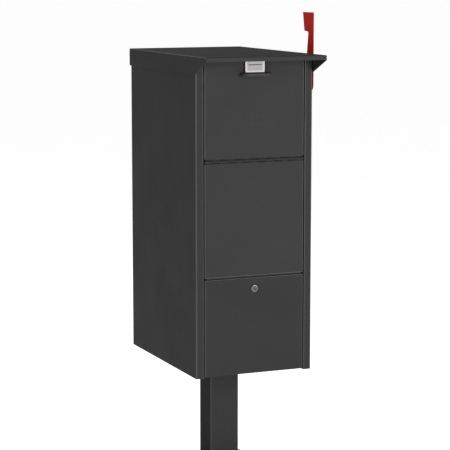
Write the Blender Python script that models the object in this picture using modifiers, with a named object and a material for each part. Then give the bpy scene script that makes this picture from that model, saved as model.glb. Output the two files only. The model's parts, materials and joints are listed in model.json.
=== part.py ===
"""Post-mounted mail and parcel drop box.

A sheet-steel cabinet on a square steel post.  Folded panels make the cabinet,
a hood with gusseted side skirts covers it, a bottom-hinged intake door carries
a drop hopper, a bottom-hinged retrieval door below it is held by a cam lock,
and a signal flag turns on a bolt through the right side.

Frame: origin at the middle of the base plate's underside, +Z up, the doors
face -Y, +X is to the right of a person who faces the doors.  Metres.
"""
import math

import bmesh
import bpy
from mathutils import Matrix, Vector

# ---------------------------------------------------------------- dimensions
W = 0.4064            # cabinet width over the side panels (16 in)
D = 0.596             # cabinet depth, front flange plane to rear flange plane
H = 1.037             # cabinet height, flange bottom to hood top
ZB = 0.381            # height of the flange bottom above the ground
T = 0.0019            # sheet thickness (14 gauge)
BEND = 0.0034         # outer bend radius of the folded sheet
GAP = 0.0003          # clearance between touching pieces

YF = -D / 2           # front flange plane
YR = D / 2            # rear flange plane
HW = W / 2            # half width
FLANGE = 0.027        # width of the front and rear flanges
RETURN = 0.016        # depth of the front flange's return
DOOR_HW = 0.1742      # half width of the doors and the middle panel
DOOR_RET = 0.018      # depth of the doors' returns

HOOD_SIDE = 0.0044    # hood overhang past each side panel
HOOD_FRONT = 0.098    # hood overhang past the front plane
HOOD_REAR = 0.0044    # hood overhang past the rear plane
HOOD_SKIRT = 0.058    # depth of the skirts
HOOD_LIP = 0.015      # depth of the front lip

LOWER_Z0, LOWER_Z1 = 0.004, 0.3218        # lower door, above ZB
PANEL_Z0, PANEL_Z1 = 0.325, 0.6935        # middle panel, above ZB
INTAKE_Z0, INTAKE_Z1 = 0.7095, 1.0295     # intake door, above ZB
CATCH = 0.0225        # depth of the middle panel's bottom return (lock catch)

INTAKE_AXIS = Vector((0, YF + 0.0040, ZB + 0.7005))
LOWER_AXIS = Vector((0, YF + 0.0062, ZB + 0.0095))
LOCK_AXIS = Vector((0, YF, ZB + 0.284))
FLAG_AXIS = Vector((0.216, YF + 0.047, ZB + 0.938))

INTAKE_BARREL = 0.00475   # knuckle radius of the intake hinge
LOWER_BARREL = 0.0040     # knuckle radius of the lower hinge
LEAF = 0.0012             # hinge leaf thickness
LEAF_HALF = 0.1693        # the leaves end between the doors' side returns

TRAY_SLOPE = math.radians(-20)    # the tray's fall to the rear when closed
TRAY_TIP = 0.300                  # radius of the tray's free edge
WING_R = 0.290                    # radius of the hopper's side wings
WING_X = 0.165                    # outer face of the wings
HOPPER_T = 0.0015

POST = 0.1016         # square post, 4 in
POST_WALL = 0.0032
BASE = 0.254          # base plate, 10 in square
BASE_T = 0.0095
ANCHOR = 0.1016       # anchor holes at +-4 in
ANCHOR_D = 0.014
TOP_PLATE = 0.184
TOP_PLATE_T = 0.006
BOLT_XY = 0.076       # cabinet bolts at +-3 in
BOLT_D = 0.0079

HANDLE_W = 0.101
HANDLE_OUT = 0.027
HANDLE_H = 0.0115
HANDLE_Z = ZB + 0.9755
HANDLE_GRIP = 0.0085
HANDLE_LEG = 0.013

PLATE_W, PLATE_H = 0.067, 0.0385
PLATE_Z = ZB + 1.0015
FRAME_B = 0.0045      # border of the label frame

FLAG_T = 0.002

# ---------------------------------------------------------------- scene start
for ob in list(bpy.data.objects):
    bpy.data.objects.remove(ob, do_unlink=True)
for me in list(bpy.data.meshes):
    bpy.data.meshes.remove(me)

root = bpy.context.scene.collection
parts = bpy.data.collections.new("mail_drop_box")
root.children.link(parts)
cutters = bpy.data.collections.new("cutters")
root.children.link(cutters)

POWDER = (0.045, 0.045, 0.047), 0.5, 0.15
POWDER_TOP = (0.052, 0.052, 0.053), 0.5, 0.15
ZINC = (0.55, 0.56, 0.58), 0.35, 0.9
STEEL = (0.42, 0.42, 0.43), 0.35, 0.95
NICKEL = (0.72, 0.71, 0.69), 0.22, 1.0
RED = (0.33, 0.020, 0.012), 0.4, 0.0
RUBBER = (0.012, 0.012, 0.012), 0.85, 0.0
LABEL = (0.62, 0.60, 0.59), 0.4, 0.2
BLACK = (0.010, 0.010, 0.011), 0.45, 0.0


def material(ob, look):
    """Give the object its own Principled material."""
    colour, rough, metal = look
    m = bpy.data.materials.new(ob.name + "_mat")
    m.use_nodes = True
    s = m.node_tree.nodes["Principled BSDF"]
    s.inputs["Base Color"].default_value = (*colour, 1.0)
    s.inputs["Roughness"].default_value = rough
    s.inputs["Metallic"].default_value = metal
    ob.data.materials.clear()
    ob.data.materials.append(m)


def add(name, mesh, look=None, coll=None, matrix=None):
    ob = bpy.data.objects.new(name, mesh)
    (coll or parts).objects.link(ob)
    if matrix is not None:
        ob.matrix_world = matrix
    if look:
        material(ob, look)
    return ob


def smooth(ob, angle=35):
    ob.data.shade_smooth()
    ob.data.set_sharp_from_angle(angle=math.radians(angle))


def cutter(ob):
    ob.hide_render = True
    ob.display_type = "WIRE"
    return ob


def boolean(ob, tool, operation="DIFFERENCE"):
    m = ob.modifiers.new(operation.title(), "BOOLEAN")
    m.operation = operation
    m.object = tool
    m.solver = "EXACT"
    return m


# axes of turned and drilled pieces: the local +Z points along these
UP = Matrix.Identity(4)
FRONT = Matrix.Rotation(math.radians(90), 4, "X")      # local Z -> -Y
RIGHT = Matrix.Rotation(math.radians(90), 4, "Y")      # local Z -> +X


def rod(name, radius, depth, centre, axis=UP, segments=24, look=None, coll=None, phase=0.0):
    """A plain cylinder or prism from the cone primitive."""
    bm = bmesh.new()
    bmesh.ops.create_cone(bm, cap_ends=True, segments=segments, radius1=radius,
                          radius2=radius, depth=depth)
    bmesh.ops.rotate(bm, verts=bm.verts, cent=(0, 0, 0), matrix=Matrix.Rotation(phase, 3, "Z"))
    me = bpy.data.meshes.new(name)
    bm.to_mesh(me)
    bm.free()
    ob = add(name, me, look, coll, Matrix.Translation(Vector(centre)) @ axis)
    if segments > 8:
        smooth(ob)
    return ob


def drill(ob, name, radius, depth, centre, axis=UP, segments=24, phase=0.0):
    tool = cutter(rod(name, radius, depth, centre, axis, segments, coll=cutters, phase=phase))
    boolean(ob, tool)
    return tool


def box(name, lo, hi, look=None, coll=None, bevel=0.0, segments=2):
    """A solid block from the cube primitive, with optional rounded edges."""
    lo, hi = Vector(lo), Vector(hi)
    bm = bmesh.new()
    bmesh.ops.create_cube(bm, size=1.0)
    bmesh.ops.scale(bm, vec=hi - lo, verts=bm.verts)
    me = bpy.data.meshes.new(name)
    bm.to_mesh(me)
    bm.free()
    ob = add(name, me, look, coll, Matrix.Translation((lo + hi) / 2))
    if bevel:
        m = ob.modifiers.new("Bevel", "BEVEL")
        m.width = bevel
        m.segments = segments
        m.limit_method = "ANGLE"
        smooth(ob)
    return ob


FACES = {"-X": (-1, 0, 0), "+X": (1, 0, 0), "-Y": (0, -1, 0), "+Y": (0, 1, 0),
         "-Z": (0, 0, -1), "+Z": (0, 0, 1)}


def sheet(name, lo, hi, open_faces, look, thickness=T, bend=BEND, segments=3,
          slits=(), folds=(), shift=()):
    """A folded sheet piece: a box surface with some sides left open.

    slits  - planes (point, normal) that score the faces
    shift  - (lo, hi, vector) moves the corner points inside a small box
    folds  - (lo, hi, vector) pulls a flange from the free edge whose middle
             lies inside the small box
    The bends are then rounded and the surface gets its thickness inwards.
    """
    lo, hi = Vector(lo), Vector(hi)
    mid = (lo + hi) / 2
    bm = bmesh.new()
    bmesh.ops.create_cube(bm, size=1.0)
    bmesh.ops.scale(bm, vec=hi - lo, verts=bm.verts)
    bmesh.ops.translate(bm, vec=mid, verts=bm.verts)
    gone = [f for f in bm.faces
            if any(f.normal.dot(Vector(FACES[k])) > 0.9 for k in open_faces)]
    bmesh.ops.delete(bm, geom=gone, context="FACES")
    main = max(bm.faces, key=lambda f: f.calc_area())
    want = main.normal.copy()
    for co, no in slits:
        bmesh.ops.bisect_plane(bm, geom=bm.verts[:] + bm.edges[:] + bm.faces[:],
                               dist=1e-6, plane_co=co, plane_no=no)

    def inside(p, a, b):
        return all(min(a[i], b[i]) - 1e-5 <= p[i] <= max(a[i], b[i]) + 1e-5 for i in range(3))

    for a, b, vec in shift:
        bmesh.ops.translate(bm, vec=vec, verts=[v for v in bm.verts if inside(v.co, a, b)])
    for a, b, vec in folds:
        edges = [e for e in bm.edges if e.is_boundary
                 and inside((e.verts[0].co + e.verts[1].co) / 2, a, b)]
        out = bmesh.ops.extrude_edge_only(bm, edges=edges)
        bmesh.ops.translate(bm, vec=vec,
                            verts=[g for g in out["geom"] if isinstance(g, bmesh.types.BMVert)])
    bmesh.ops.recalc_face_normals(bm, faces=bm.faces)
    main = max(bm.faces, key=lambda f: f.calc_area())
    if main.normal.dot(want) < 0:
        bmesh.ops.reverse_faces(bm, faces=bm.faces)
    bm.normal_update()
    bends = [e for e in bm.edges if len(e.link_faces) == 2
             and e.calc_face_angle() > math.radians(20)]
    bmesh.ops.bevel(bm, geom=bends, offset=bend, offset_type="OFFSET", segments=segments,
                    profile=0.5, affect="EDGES", clamp_overlap=True)
    bmesh.ops.translate(bm, vec=-mid, verts=bm.verts)
    me = bpy.data.meshes.new(name)
    bm.to_mesh(me)
    bm.free()
    ob = add(name, me, look, None, Matrix.Translation(mid))
    m = ob.modifiers.new("Solidify", "SOLIDIFY")
    m.thickness = thickness
    m.offset = -1.0
    m.use_even_offset = True
    smooth(ob)
    return ob


PLANES = {"XY": Matrix.Identity(4),
          "XZ": Matrix.Rotation(math.radians(90), 4, "X"),              # u=X v=Z w=-Y
          "YZ": Matrix.Rotation(math.radians(90), 4, "Z") @ Matrix.Rotation(math.radians(90), 4, "X")}


def flat(name, loops, thickness, centre, plane, look=None, coll=None, bevel=0.0, segments=2):
    """A flat outline with holes: a filled 2D curve extruded to its thickness."""
    cu = bpy.data.curves.new(name + "_outline", "CURVE")
    cu.dimensions = "2D"
    cu.fill_mode = "BOTH"
    cu.extrude = thickness / 2
    for k, pts in enumerate(loops):
        area = sum(a[0] * b[1] - b[0] * a[1] for a, b in zip(pts, pts[1:] + pts[:1]))
        if (area > 0) == (k > 0):
            pts = pts[::-1]
        sp = cu.splines.new("POLY")
        sp.points.add(len(pts) - 1)
        for p, (u, v) in zip(sp.points, pts):
            p.co = (u, v, 0, 1)
        sp.use_cyclic_u = True
    tmp = bpy.data.objects.new(name + "_outline", cu)
    root.objects.link(tmp)
    tmp.matrix_world = Matrix.Translation(Vector(centre)) @ PLANES[plane]
    bpy.context.view_layer.update()
    dg = bpy.context.evaluated_depsgraph_get()
    me = bpy.data.meshes.new_from_object(tmp.evaluated_get(dg))
    mw = tmp.matrix_world.copy()
    bm = bmesh.new()
    bm.from_mesh(me)
    bmesh.ops.remove_doubles(bm, verts=bm.verts, dist=1e-6)
    bmesh.ops.recalc_face_normals(bm, faces=bm.faces)
    if len(loops) == 1:
        for side in (1, -1):
            cap = [f for f in bm.faces if f.normal.z * side > 0.9]
            bmesh.ops.dissolve_faces(bm, faces=cap, use_verts=False)
    bm.to_mesh(me)
    bm.free()
    me.name = name
    bpy.data.objects.remove(tmp, do_unlink=True)
    bpy.data.curves.remove(cu)
    ob = add(name, me, look, coll, mw)
    if bevel:
        m = ob.modifiers.new("Bevel", "BEVEL")
        m.width = bevel
        m.segments = segments
        m.limit_method = "ANGLE"
        m.angle_limit = math.radians(60)
    smooth(ob)
    return ob


def comb(name, pts, thickness, centre, plane, look):
    """A toothed strip: one outline face, extruded to its thickness."""
    bm = bmesh.new()
    face = bm.faces.new([bm.verts.new((u, v, -thickness / 2)) for u, v in pts])
    up = bmesh.ops.extrude_face_region(bm, geom=[face])["geom"]
    bmesh.ops.translate(bm, vec=(0, 0, thickness), verts=[g for g in up if isinstance(g, bmesh.types.BMVert)])
    bmesh.ops.recalc_face_normals(bm, faces=bm.faces)
    me = bpy.data.meshes.new(name)
    bm.to_mesh(me)
    bm.free()
    return add(name, me, look, None, Matrix.Translation(Vector(centre)) @ PLANES[plane])


def turned(name, profile, centre, axis, segments, look, closed=False, coll=None):
    """A turned piece: the profile (radius, height) runs down its outer side."""
    bm = bmesh.new()
    vs = [bm.verts.new((r, 0, h)) for r, h in profile]
    for a, b in zip(vs, vs[1:]):
        bm.edges.new((a, b))
    if closed:
        bm.edges.new((vs[-1], vs[0]))
    me = bpy.data.meshes.new(name)
    bm.to_mesh(me)
    bm.free()
    ob = add(name, me, look, coll, Matrix.Translation(Vector(centre)) @ axis)
    m = ob.modifiers.new("Screw", "SCREW")
    m.angle = math.tau
    m.steps = segments
    m.render_steps = segments
    m.use_merge_vertices = True
    m.merge_threshold = 0.00001
    m.use_smooth_shade = True
    return ob


def circle(u, v, r, n=20, phase=0.0):
    return [(u + r * math.cos(phase + math.tau * i / n), v + r * math.sin(phase + math.tau * i / n))
            for i in range(n)]


def rounded(corners, n=4):
    """An outline from corners (u, v, radius), each corner rounded by its radius."""
    out = []
    k = len(corners)
    for i in range(k):
        p = Vector(corners[i][:2])
        r = corners[i][2]
        a = (Vector(corners[i - 1][:2]) - p).normalized()
        b = (Vector(corners[(i + 1) % k][:2]) - p).normalized()
        if r <= 0:
            out.append((p.x, p.y))
            continue
        half = a.angle(b) / 2
        cut = r / math.tan(half)
        c = p + (a + b).normalized() * (r / math.sin(half))
        s, e = p + a * cut - c, p + b * cut - c
        ang = math.atan2(s.x * e.y - s.y * e.x, s.dot(e))
        for j in range(n + 1):
            q = c + Matrix.Rotation(ang * j / n, 2) @ s
            out.append((q.x, q.y))
    return out


def rect(u0, v0, u1, v1, r=0.0, n=4):
    return rounded([(u0, v0, r), (u1, v0, r), (u1, v1, r), (u0, v1, r)], n)


def join(objects, name, look):
    """Union of closed solids into one, with the union left as modifiers."""
    base = objects[0]
    base.name = name
    base.data.name = name
    for o in objects[1:]:
        for c in list(o.users_collection):
            c.objects.unlink(o)
        cutters.objects.link(o)
        cutter(o)
        boolean(base, o, "UNION")
    return base


# ---------------------------------------------------------------- post and foot
base_plate = flat("base_plate",
                  [rect(-BASE / 2, -BASE / 2, BASE / 2, BASE / 2, 0.012, 4)]
                  + [circle(sx * ANCHOR, sy * ANCHOR, ANCHOR_D / 2, 16)
                     for sx in (-1, 1) for sy in (-1, 1)],
                  BASE_T, (0, 0, BASE_T / 2), "XY", POWDER)

post_tube = sheet("post_tube", (-POST / 2, -POST / 2, BASE_T + GAP),
                  (POST / 2, POST / 2, ZB + 0.0004), ("-Z", "+Z"), POWDER,
                  thickness=POST_WALL, bend=0.005, segments=4)

top_plate_z = ZB + 0.0007 + TOP_PLATE_T / 2
post_top_plate = flat("post_top_plate",
                      [rect(-TOP_PLATE / 2, -TOP_PLATE / 2, TOP_PLATE / 2, TOP_PLATE / 2, 0.01, 3)]
                      + [circle(sx * BOLT_XY, sy * BOLT_XY, 0.0045, 12)
                         for sx in (-1, 1) for sy in (-1, 1)],
                      TOP_PLATE_T, (0, 0, top_plate_z), "XY", POWDER)

# ---------------------------------------------------------------- cabinet shell
FLOOR_Z = ZB + 0.0070
floor_pan = sheet("floor_pan", (-HW + T + GAP, YF + 0.022, FLOOR_Z),
                  (HW - T - GAP, YR - 0.0044, FLOOR_Z + 0.020), ("+Z", "-Y"), POWDER, bend=0.003)
for i, (sx, sy) in enumerate([(-1, -1), (1, -1), (1, 1), (-1, 1)], 1):
    drill(floor_pan, f"floor_hole_{i}", 0.0045, 0.02, (sx * BOLT_XY, sy * BOLT_XY, FLOOR_Z), UP, 12)

SIDE_TOP = ZB + H - T - GAP           # upper face of the side panels' top flanges


def side_panel(name, s):
    """s = -1 left, +1 right: front flange with return, side wall, rear flange, top flange."""
    outer, inner = s * HW, s * (HW - FLANGE)
    lo = (min(outer, inner), YF, ZB)
    hi = (max(outer, inner), YR, SIDE_TOP)
    wall = sheet(name, lo, hi, ("+X" if s < 0 else "-X", "-Z", "+Z"), POWDER,
                 folds=[((inner, YF, ZB), (inner, YF, SIDE_TOP), (0, RETURN, 0))])
    xs = sorted((s * (HW - 0.0005), s * (HW - 0.022)))
    top = box(name + "_top", (xs[0], YF + 0.030, SIDE_TOP - T - 0.0001),
              (xs[1], YR - 0.034, SIDE_TOP - 0.0002))
    return join([wall, top], name, POWDER)


left_side_panel = side_panel("left_side_panel", -1)
right_side_panel = side_panel("right_side_panel", 1)
drill(right_side_panel, "flag_hole", 0.0034, 0.02, (HW, FLAG_AXIS.y, FLAG_AXIS.z), RIGHT, 16)

rear_out = YR - T - GAP
rear_panel = sheet("rear_panel", (-HW + 0.0048, rear_out - 0.018, ZB + 0.001),
                   (HW - 0.0048, rear_out, SIDE_TOP - T - 0.0006), ("-Y", "-X", "+X", "-Z"), POWDER)

middle_panel = sheet("middle_panel", (-DOOR_HW, YF, ZB + PANEL_Z0),
                     (DOOR_HW, YF + DOOR_RET, ZB + PANEL_Z1), ("+Y", "+Z"), POWDER,
                     folds=[((-0.01, YF + DOOR_RET, ZB + PANEL_Z0), (0.01, YF + DOOR_RET, ZB + PANEL_Z0),
                             (0, CATCH - DOOR_RET, 0))])

HOOD_HW = HW + HOOD_SIDE
HOOD_Y0, HOOD_Y1 = YF - HOOD_FRONT, YR + HOOD_REAR
HOOD_Z = ZB + H
hood = sheet("hood", (-HOOD_HW, HOOD_Y0, HOOD_Z - HOOD_SKIRT), (HOOD_HW, HOOD_Y1, HOOD_Z),
             ("-Z",), POWDER_TOP,
             slits=[((0, YF, 0), (0, 1, 0))],
             shift=[((-HOOD_HW, HOOD_Y0, HOOD_Z - HOOD_SKIRT), (HOOD_HW, HOOD_Y0, HOOD_Z - HOOD_SKIRT),
                     (0, 0, HOOD_SKIRT - HOOD_LIP))])

RAIL_X = HW - T - GAP
RAIL_Y0, RAIL_Y1 = YF + 0.0228, YF + 0.046
axis_z = INTAKE_AXIS.z
upper_cross_rail = sheet("upper_cross_rail", (-RAIL_X, RAIL_Y0, axis_z - 0.040),
                         (RAIL_X, RAIL_Y1, axis_z - 0.014), ("-X", "+X", "+Y"), POWDER, bend=0.003, segments=2)
lower_cross_rail = sheet("lower_cross_rail", (-RAIL_X, RAIL_Y0, ZB + 0.345),
                         (RAIL_X, RAIL_Y1, ZB + 0.375), ("-X", "+X", "+Y"), POWDER, bend=0.003, segments=2)
RAIL_TOP = SIDE_TOP - T - 0.0005
header_rail = sheet("header_rail", (-RAIL_X, YF + 0.024, axis_z + 0.3005),
                    (RAIL_X, YF + 0.049, RAIL_TOP), ("-X", "+X", "+Y"), POWDER, bend=0.003, segments=2)

# the baffle hangs behind the hopper, so that a hand or a hook can't reach past it
BAFFLE_Y = INTAKE_AXIS.y + 0.2150
rear_baffle = sheet("rear_baffle", (-RAIL_X, BAFFLE_Y, axis_z + 0.217), (RAIL_X, BAFFLE_Y + 0.020, RAIL_TOP),
                    ("-X", "+X", "+Y"), POWDER, bend=0.003, segments=2)


def bumper(name, x):
    """Rubber stop between the header rail and the back of the intake door."""
    return turned(name, [(0, 0.0215), (0.0042, 0.0215), (0.0060, 0.0198), (0.0070, 0), (0, 0)],
                  (x, YF + 0.0237, axis_z + 0.3140), FRONT, 16, RUBBER)


door_bumper_left = bumper("door_bumper_left", -0.130)
door_bumper_right = bumper("door_bumper_right", 0.130)

# ---------------------------------------------------------------- cabinet bolts
HEAD_Z = FLOOR_Z + T + GAP
for i, (sx, sy) in enumerate([(-1, -1), (1, -1), (1, 1), (-1, 1)], 1):
    x, y = sx * BOLT_XY, sy * BOLT_XY
    head = rod(f"mount_bolt_{i}", 0.0075, 0.0053, (x, y, HEAD_Z + 0.00265), UP, 6, ZINC)
    shank = rod(f"mount_bolt_shank_{i}", BOLT_D / 2, 0.024, (x, y, HEAD_Z + 0.001 - 0.012), UP, 12)
    join([head, shank], f"mount_bolt_{i}", ZINC)
    flat(f"mount_nut_{i}", [circle(x, y, 0.0075, 6), circle(x, y, 0.0043, 12)], 0.0065,
         (0, 0, ZB + 0.0007 - GAP - 0.00325), "XY", ZINC)


# ---------------------------------------------------------------- piano hinges
def knuckle_spans(count, half):
    """Knuckles share the length evenly with a small gap between neighbours."""
    pitch = 2 * half / count
    return [(-half + i * pitch + GAP / 2, -half + (i + 1) * pitch - GAP / 2) for i in range(count)]


def hinge_leaf(name, axis, radius, pin_r, half, count, odd, plane, far, tang, look, sides):
    """One leaf: a comb-shaped plate with tabs into its own knuckles.

    plane - 'XZ' for an upright leaf, 'XY' for a flat one
    far   - distance from the axis to the leaf's far edge, signed
    tang  - offset of the leaf's middle plane from the axis, signed
    """
    spans = knuckle_spans(count, half)
    s = 1 if far > 0 else -1
    near = s * (radius + 0.0008)
    reach = s * 0.0002 if abs(tang) < radius - LEAF else s * 0.0004
    edge = min(half - 0.0006, LEAF_HALF)
    pts = [(-edge, far)]
    if odd:
        pts.append((-edge, near))
    for i, (a, b) in enumerate(spans):
        if i % 2 == odd:
            a, b = max(a + 0.0004, -edge), min(b - 0.0004, edge)
            if a > -edge:
                pts.append((a, near))
            pts += [(a, reach), (b, reach)]
            if b < edge:
                pts.append((b, near))
    if odd:
        pts.append((edge, near))
    pts.append((edge, far))
    if plane == "XZ":
        centre = (axis.x, axis.y + tang, axis.z)
        leaf = comb(name, pts, LEAF, centre, "XZ", look)
    else:
        centre = (axis.x, axis.y, axis.z + tang)
        leaf = comb(name, pts, LEAF, centre, "XY", look)
    for i, (a, b) in enumerate(spans):
        if i % 2 == odd:
            k = rod(f"{name}_knuckle_{i}", radius, b - a, (axis.x + (a + b) / 2, axis.y, axis.z),
                    RIGHT, sides, coll=cutters, phase=math.pi / sides)
            cutter(k)
            boolean(leaf, k, "UNION")
    drill(leaf, name + "_bore", pin_r + 0.0002, 2 * half + 0.02, axis, RIGHT, 12)
    return leaf


HINGE_HALF = 0.1735
intake_hinge_frame_leaf = hinge_leaf("intake_hinge_frame_leaf", INTAKE_AXIS, INTAKE_BARREL, 0.0021,
                                     HINGE_HALF, 13, 0, "XZ", -0.028, -0.0012, POWDER_TOP, 16)
intake_hinge_door_leaf = hinge_leaf("intake_hinge_door_leaf", INTAKE_AXIS, INTAKE_BARREL, 0.0021,
                                    HINGE_HALF, 13, 1, "XZ", 0.028, -0.0012, POWDER_TOP, 16)
intake_hinge_pin = rod("intake_hinge_pin", 0.0021, 2 * HINGE_HALF - 0.001, INTAKE_AXIS, RIGHT, 12, STEEL)

LOWER_HALF = 0.1680
lower_hinge_frame_leaf = hinge_leaf("lower_hinge_frame_leaf", LOWER_AXIS, LOWER_BARREL, 0.0016,
                                    LOWER_HALF, 9, 0, "XY", 0.042, -LOWER_BARREL + LEAF / 2, ZINC, 16)
lower_hinge_door_leaf = hinge_leaf("lower_hinge_door_leaf", LOWER_AXIS, LOWER_BARREL, 0.0016,
                                   LOWER_HALF, 9, 1, "XZ", 0.028, -LOWER_BARREL + LEAF / 2, ZINC, 16)
lower_hinge_pin = rod("lower_hinge_pin", 0.0016, 2 * LOWER_HALF - 0.001, LOWER_AXIS, RIGHT, 12, STEEL)

# ---------------------------------------------------------------- intake door
intake_door = sheet("intake_door", (-DOOR_HW, YF, ZB + INTAKE_Z0),
                    (DOOR_HW, YF + DOOR_RET, ZB + INTAKE_Z1), ("+Y", "-Z"), POWDER_TOP)
leg_x = HANDLE_W / 2 - HANDLE_LEG / 2
for s, side in ((-1, "left"), (1, "right")):
    drill(intake_door, f"handle_hole_{side}", 0.0029, 0.02, (s * leg_x, YF, HANDLE_Z), FRONT, 16)

# the tray: a foot flange on the door's back and a floor that falls to the rear
ca, sa = math.cos(TRAY_SLOPE), math.sin(TRAY_SLOPE)
ay = INTAKE_AXIS.y
tray_y0, tray_z0 = ay - 0.0003, axis_z + 0.0105
run = TRAY_TIP - 0.0105 * math.sin(math.radians(20)) - 0.006
hopper_tray = sheet("hopper_tray", (-0.1640, tray_y0, tray_z0), (0.1640, tray_y0 + run, tray_z0 + 0.022),
                    ("-X", "+X", "+Y", "+Z"), POWDER, thickness=HOPPER_T, bend=0.003, segments=2,
                    shift=[((-0.2, tray_y0 + run, tray_z0), (0.2, tray_y0 + run, tray_z0),
                            (0, run * (ca - 1), run * sa))])


def hopper_side(name, s):
    """Side wing of the hopper: a sector plate with a flange on the door's back."""
    th_top = math.radians(88.6)
    th_bot = TRAY_SLOPE + math.radians(0.9)
    # lower edge runs just above the tray, front edge just behind the door
    y_front = 0.0016
    z_front = 0.0165
    pts = [(y_front, z_front)]
    n = 14
    for i in range(n + 1):
        th = th_bot + (th_top - th_bot) * i / n
        rr = WING_R
        pts.append((rr * math.cos(th), rr * math.sin(th)))
    pts[1] = (WING_R * ca + 0.0035 * 0, z_front + WING_R * sa + 0.0)
    pts.append((y_front, WING_R * math.sin(th_top)))
    body = flat(name, [pts], HOPPER_T, (s * (WING_X - HOPPER_T / 2), ay, axis_z), "YZ", POWDER)
    inner = s * (WING_X - HOPPER_T)
    foot = box(name + "_foot", (min(inner + s * 0.0005, inner - s * 0.014), ay + y_front, axis_z + 0.034),
               (max(inner + s * 0.0005, inner - s * 0.014), ay + y_front + HOPPER_T, axis_z + 0.270))
    return join([body, foot], name, POWDER)


hopper_side_left = hopper_side("hopper_side_left", -1)
hopper_side_right = hopper_side("hopper_side_right", 1)


def bow(half, out, leg, grip, r_out, r_in, y0):
    """Outline of the bow handle seen from above: legs at the door, grip in front."""
    return rounded([(-half, y0, 0), (-half, out, r_out), (half, out, r_out), (half, y0, 0),
                    (half - leg, y0, 0), (half - leg, out + grip, r_in),
                    (-half + leg, out + grip, r_in), (-half + leg, y0, 0)], 6)


pull_handle = flat("pull_handle",
                   [bow(HANDLE_W / 2, YF - HANDLE_OUT, HANDLE_LEG, HANDLE_GRIP, 0.016, 0.008, YF - GAP)],
                   HANDLE_H, (0, 0, HANDLE_Z), "XY", BLACK, bevel=0.0022, segments=2)
for s, side in ((-1, "left"), (1, "right")):
    drill(pull_handle, f"handle_tap_{side}", 0.0025, 0.024, (s * leg_x, YF, HANDLE_Z), FRONT, 12)
    head = turned(f"handle_screw_{side}",
                  [(0, 0.0147), (0.0022, 0.0147), (0.0022, 0.0031), (0.0048, 0.0031),
                   (0.0048, 0.0012), (0.0030, 0.0), (0, 0.0)],
                  (s * leg_x, YF + T + GAP + 0.0031, HANDLE_Z), FRONT, 16, ZINC)

label_frame = flat("label_frame",
                   [rect(-PLATE_W / 2 - FRAME_B, -PLATE_H / 2 - FRAME_B,
                         PLATE_W / 2 + FRAME_B, PLATE_H / 2 + FRAME_B, 0.005, 3),
                    rect(-PLATE_W / 2 - GAP, -PLATE_H / 2 - GAP, PLATE_W / 2 + GAP, PLATE_H / 2 + GAP, 0.0015, 2)],
                   0.0018, (0, YF - GAP - 0.0009, PLATE_Z), "XZ", BLACK)
name_plate = flat("name_plate",
                  [rect(-PLATE_W / 2, -PLATE_H / 2, PLATE_W / 2, PLATE_H / 2, 0.0012, 2)],
                  0.0012, (0, YF - GAP - 0.0006, PLATE_Z), "XZ", LABEL)

# ---------------------------------------------------------------- lower door and lock
lower_door = sheet("lower_door", (-DOOR_HW, YF, ZB + LOWER_Z0),
                   (DOOR_HW, YF + DOOR_RET, ZB + LOWER_Z1), ("+Y", "-Z"), POWDER)
lz = LOCK_AXIS.z
drill(lower_door, "lock_hole", 0.0098, 0.02, (0, YF, lz), FRONT, 24)

# local +Z of the turned lock pieces points out of the door
lock_body = turned("lock_body",
                   [(0.0105, 0.0035), (0.0125, 0.0024), (0.0125, GAP), (0.0095, GAP), (0.0095, -0.0225),
                    (0.0064, -0.0225), (0.0064, 0.0022), (0.0076, 0.0035)],
                   (0, YF, lz), FRONT, 32, NICKEL, closed=True)
lock_nut = flat("lock_nut", [circle(0, lz, 0.0145, 6), circle(0, lz, 0.0098, 24)], 0.0040,
                (0, YF + T + GAP + 0.0020, 0), "XZ", ZINC)
lock_plug = turned("lock_plug",
                   [(0, 0.0020), (0.0055, 0.0020), (0.0061, 0.0012), (0.0061, -0.0228), (0, -0.0228)],
                   (0, YF, lz), FRONT, 24, NICKEL)
keyway = cutter(box("keyway", (-0.0009, YF - 0.010, lz - 0.0042), (0.0009, YF + 0.002, lz + 0.0042), coll=cutters))
boolean(lock_plug, keyway)
drill(lock_plug, "plug_tap", 0.0023, 0.020, (0, YF + 0.0228, lz), FRONT, 12)
CAM_Y = YF + 0.0235
lock_cam = flat("lock_cam",
                [rounded([(-0.0085, lz - 0.0085, 0.008), (0.048, lz - 0.0080, 0.004),
                          (0.048, lz + 0.0080, 0.004), (-0.0085, lz + 0.0085, 0.008)], 5),
                 circle(0, lz, 0.0023, 12)],
                0.0025, (0, CAM_Y + 0.00125, 0), "XZ", STEEL)
lock_cam_screw = turned("lock_cam_screw",
                        [(0, 0.0115), (0.0020, 0.0115), (0.0020, 0.0030), (0.0046, 0.0030),
                         (0.0046, 0.0009), (0.0030, 0), (0, 0)],
                        (0, CAM_Y + 0.0025 + GAP + 0.0030, lz), FRONT, 16, ZINC)

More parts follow.
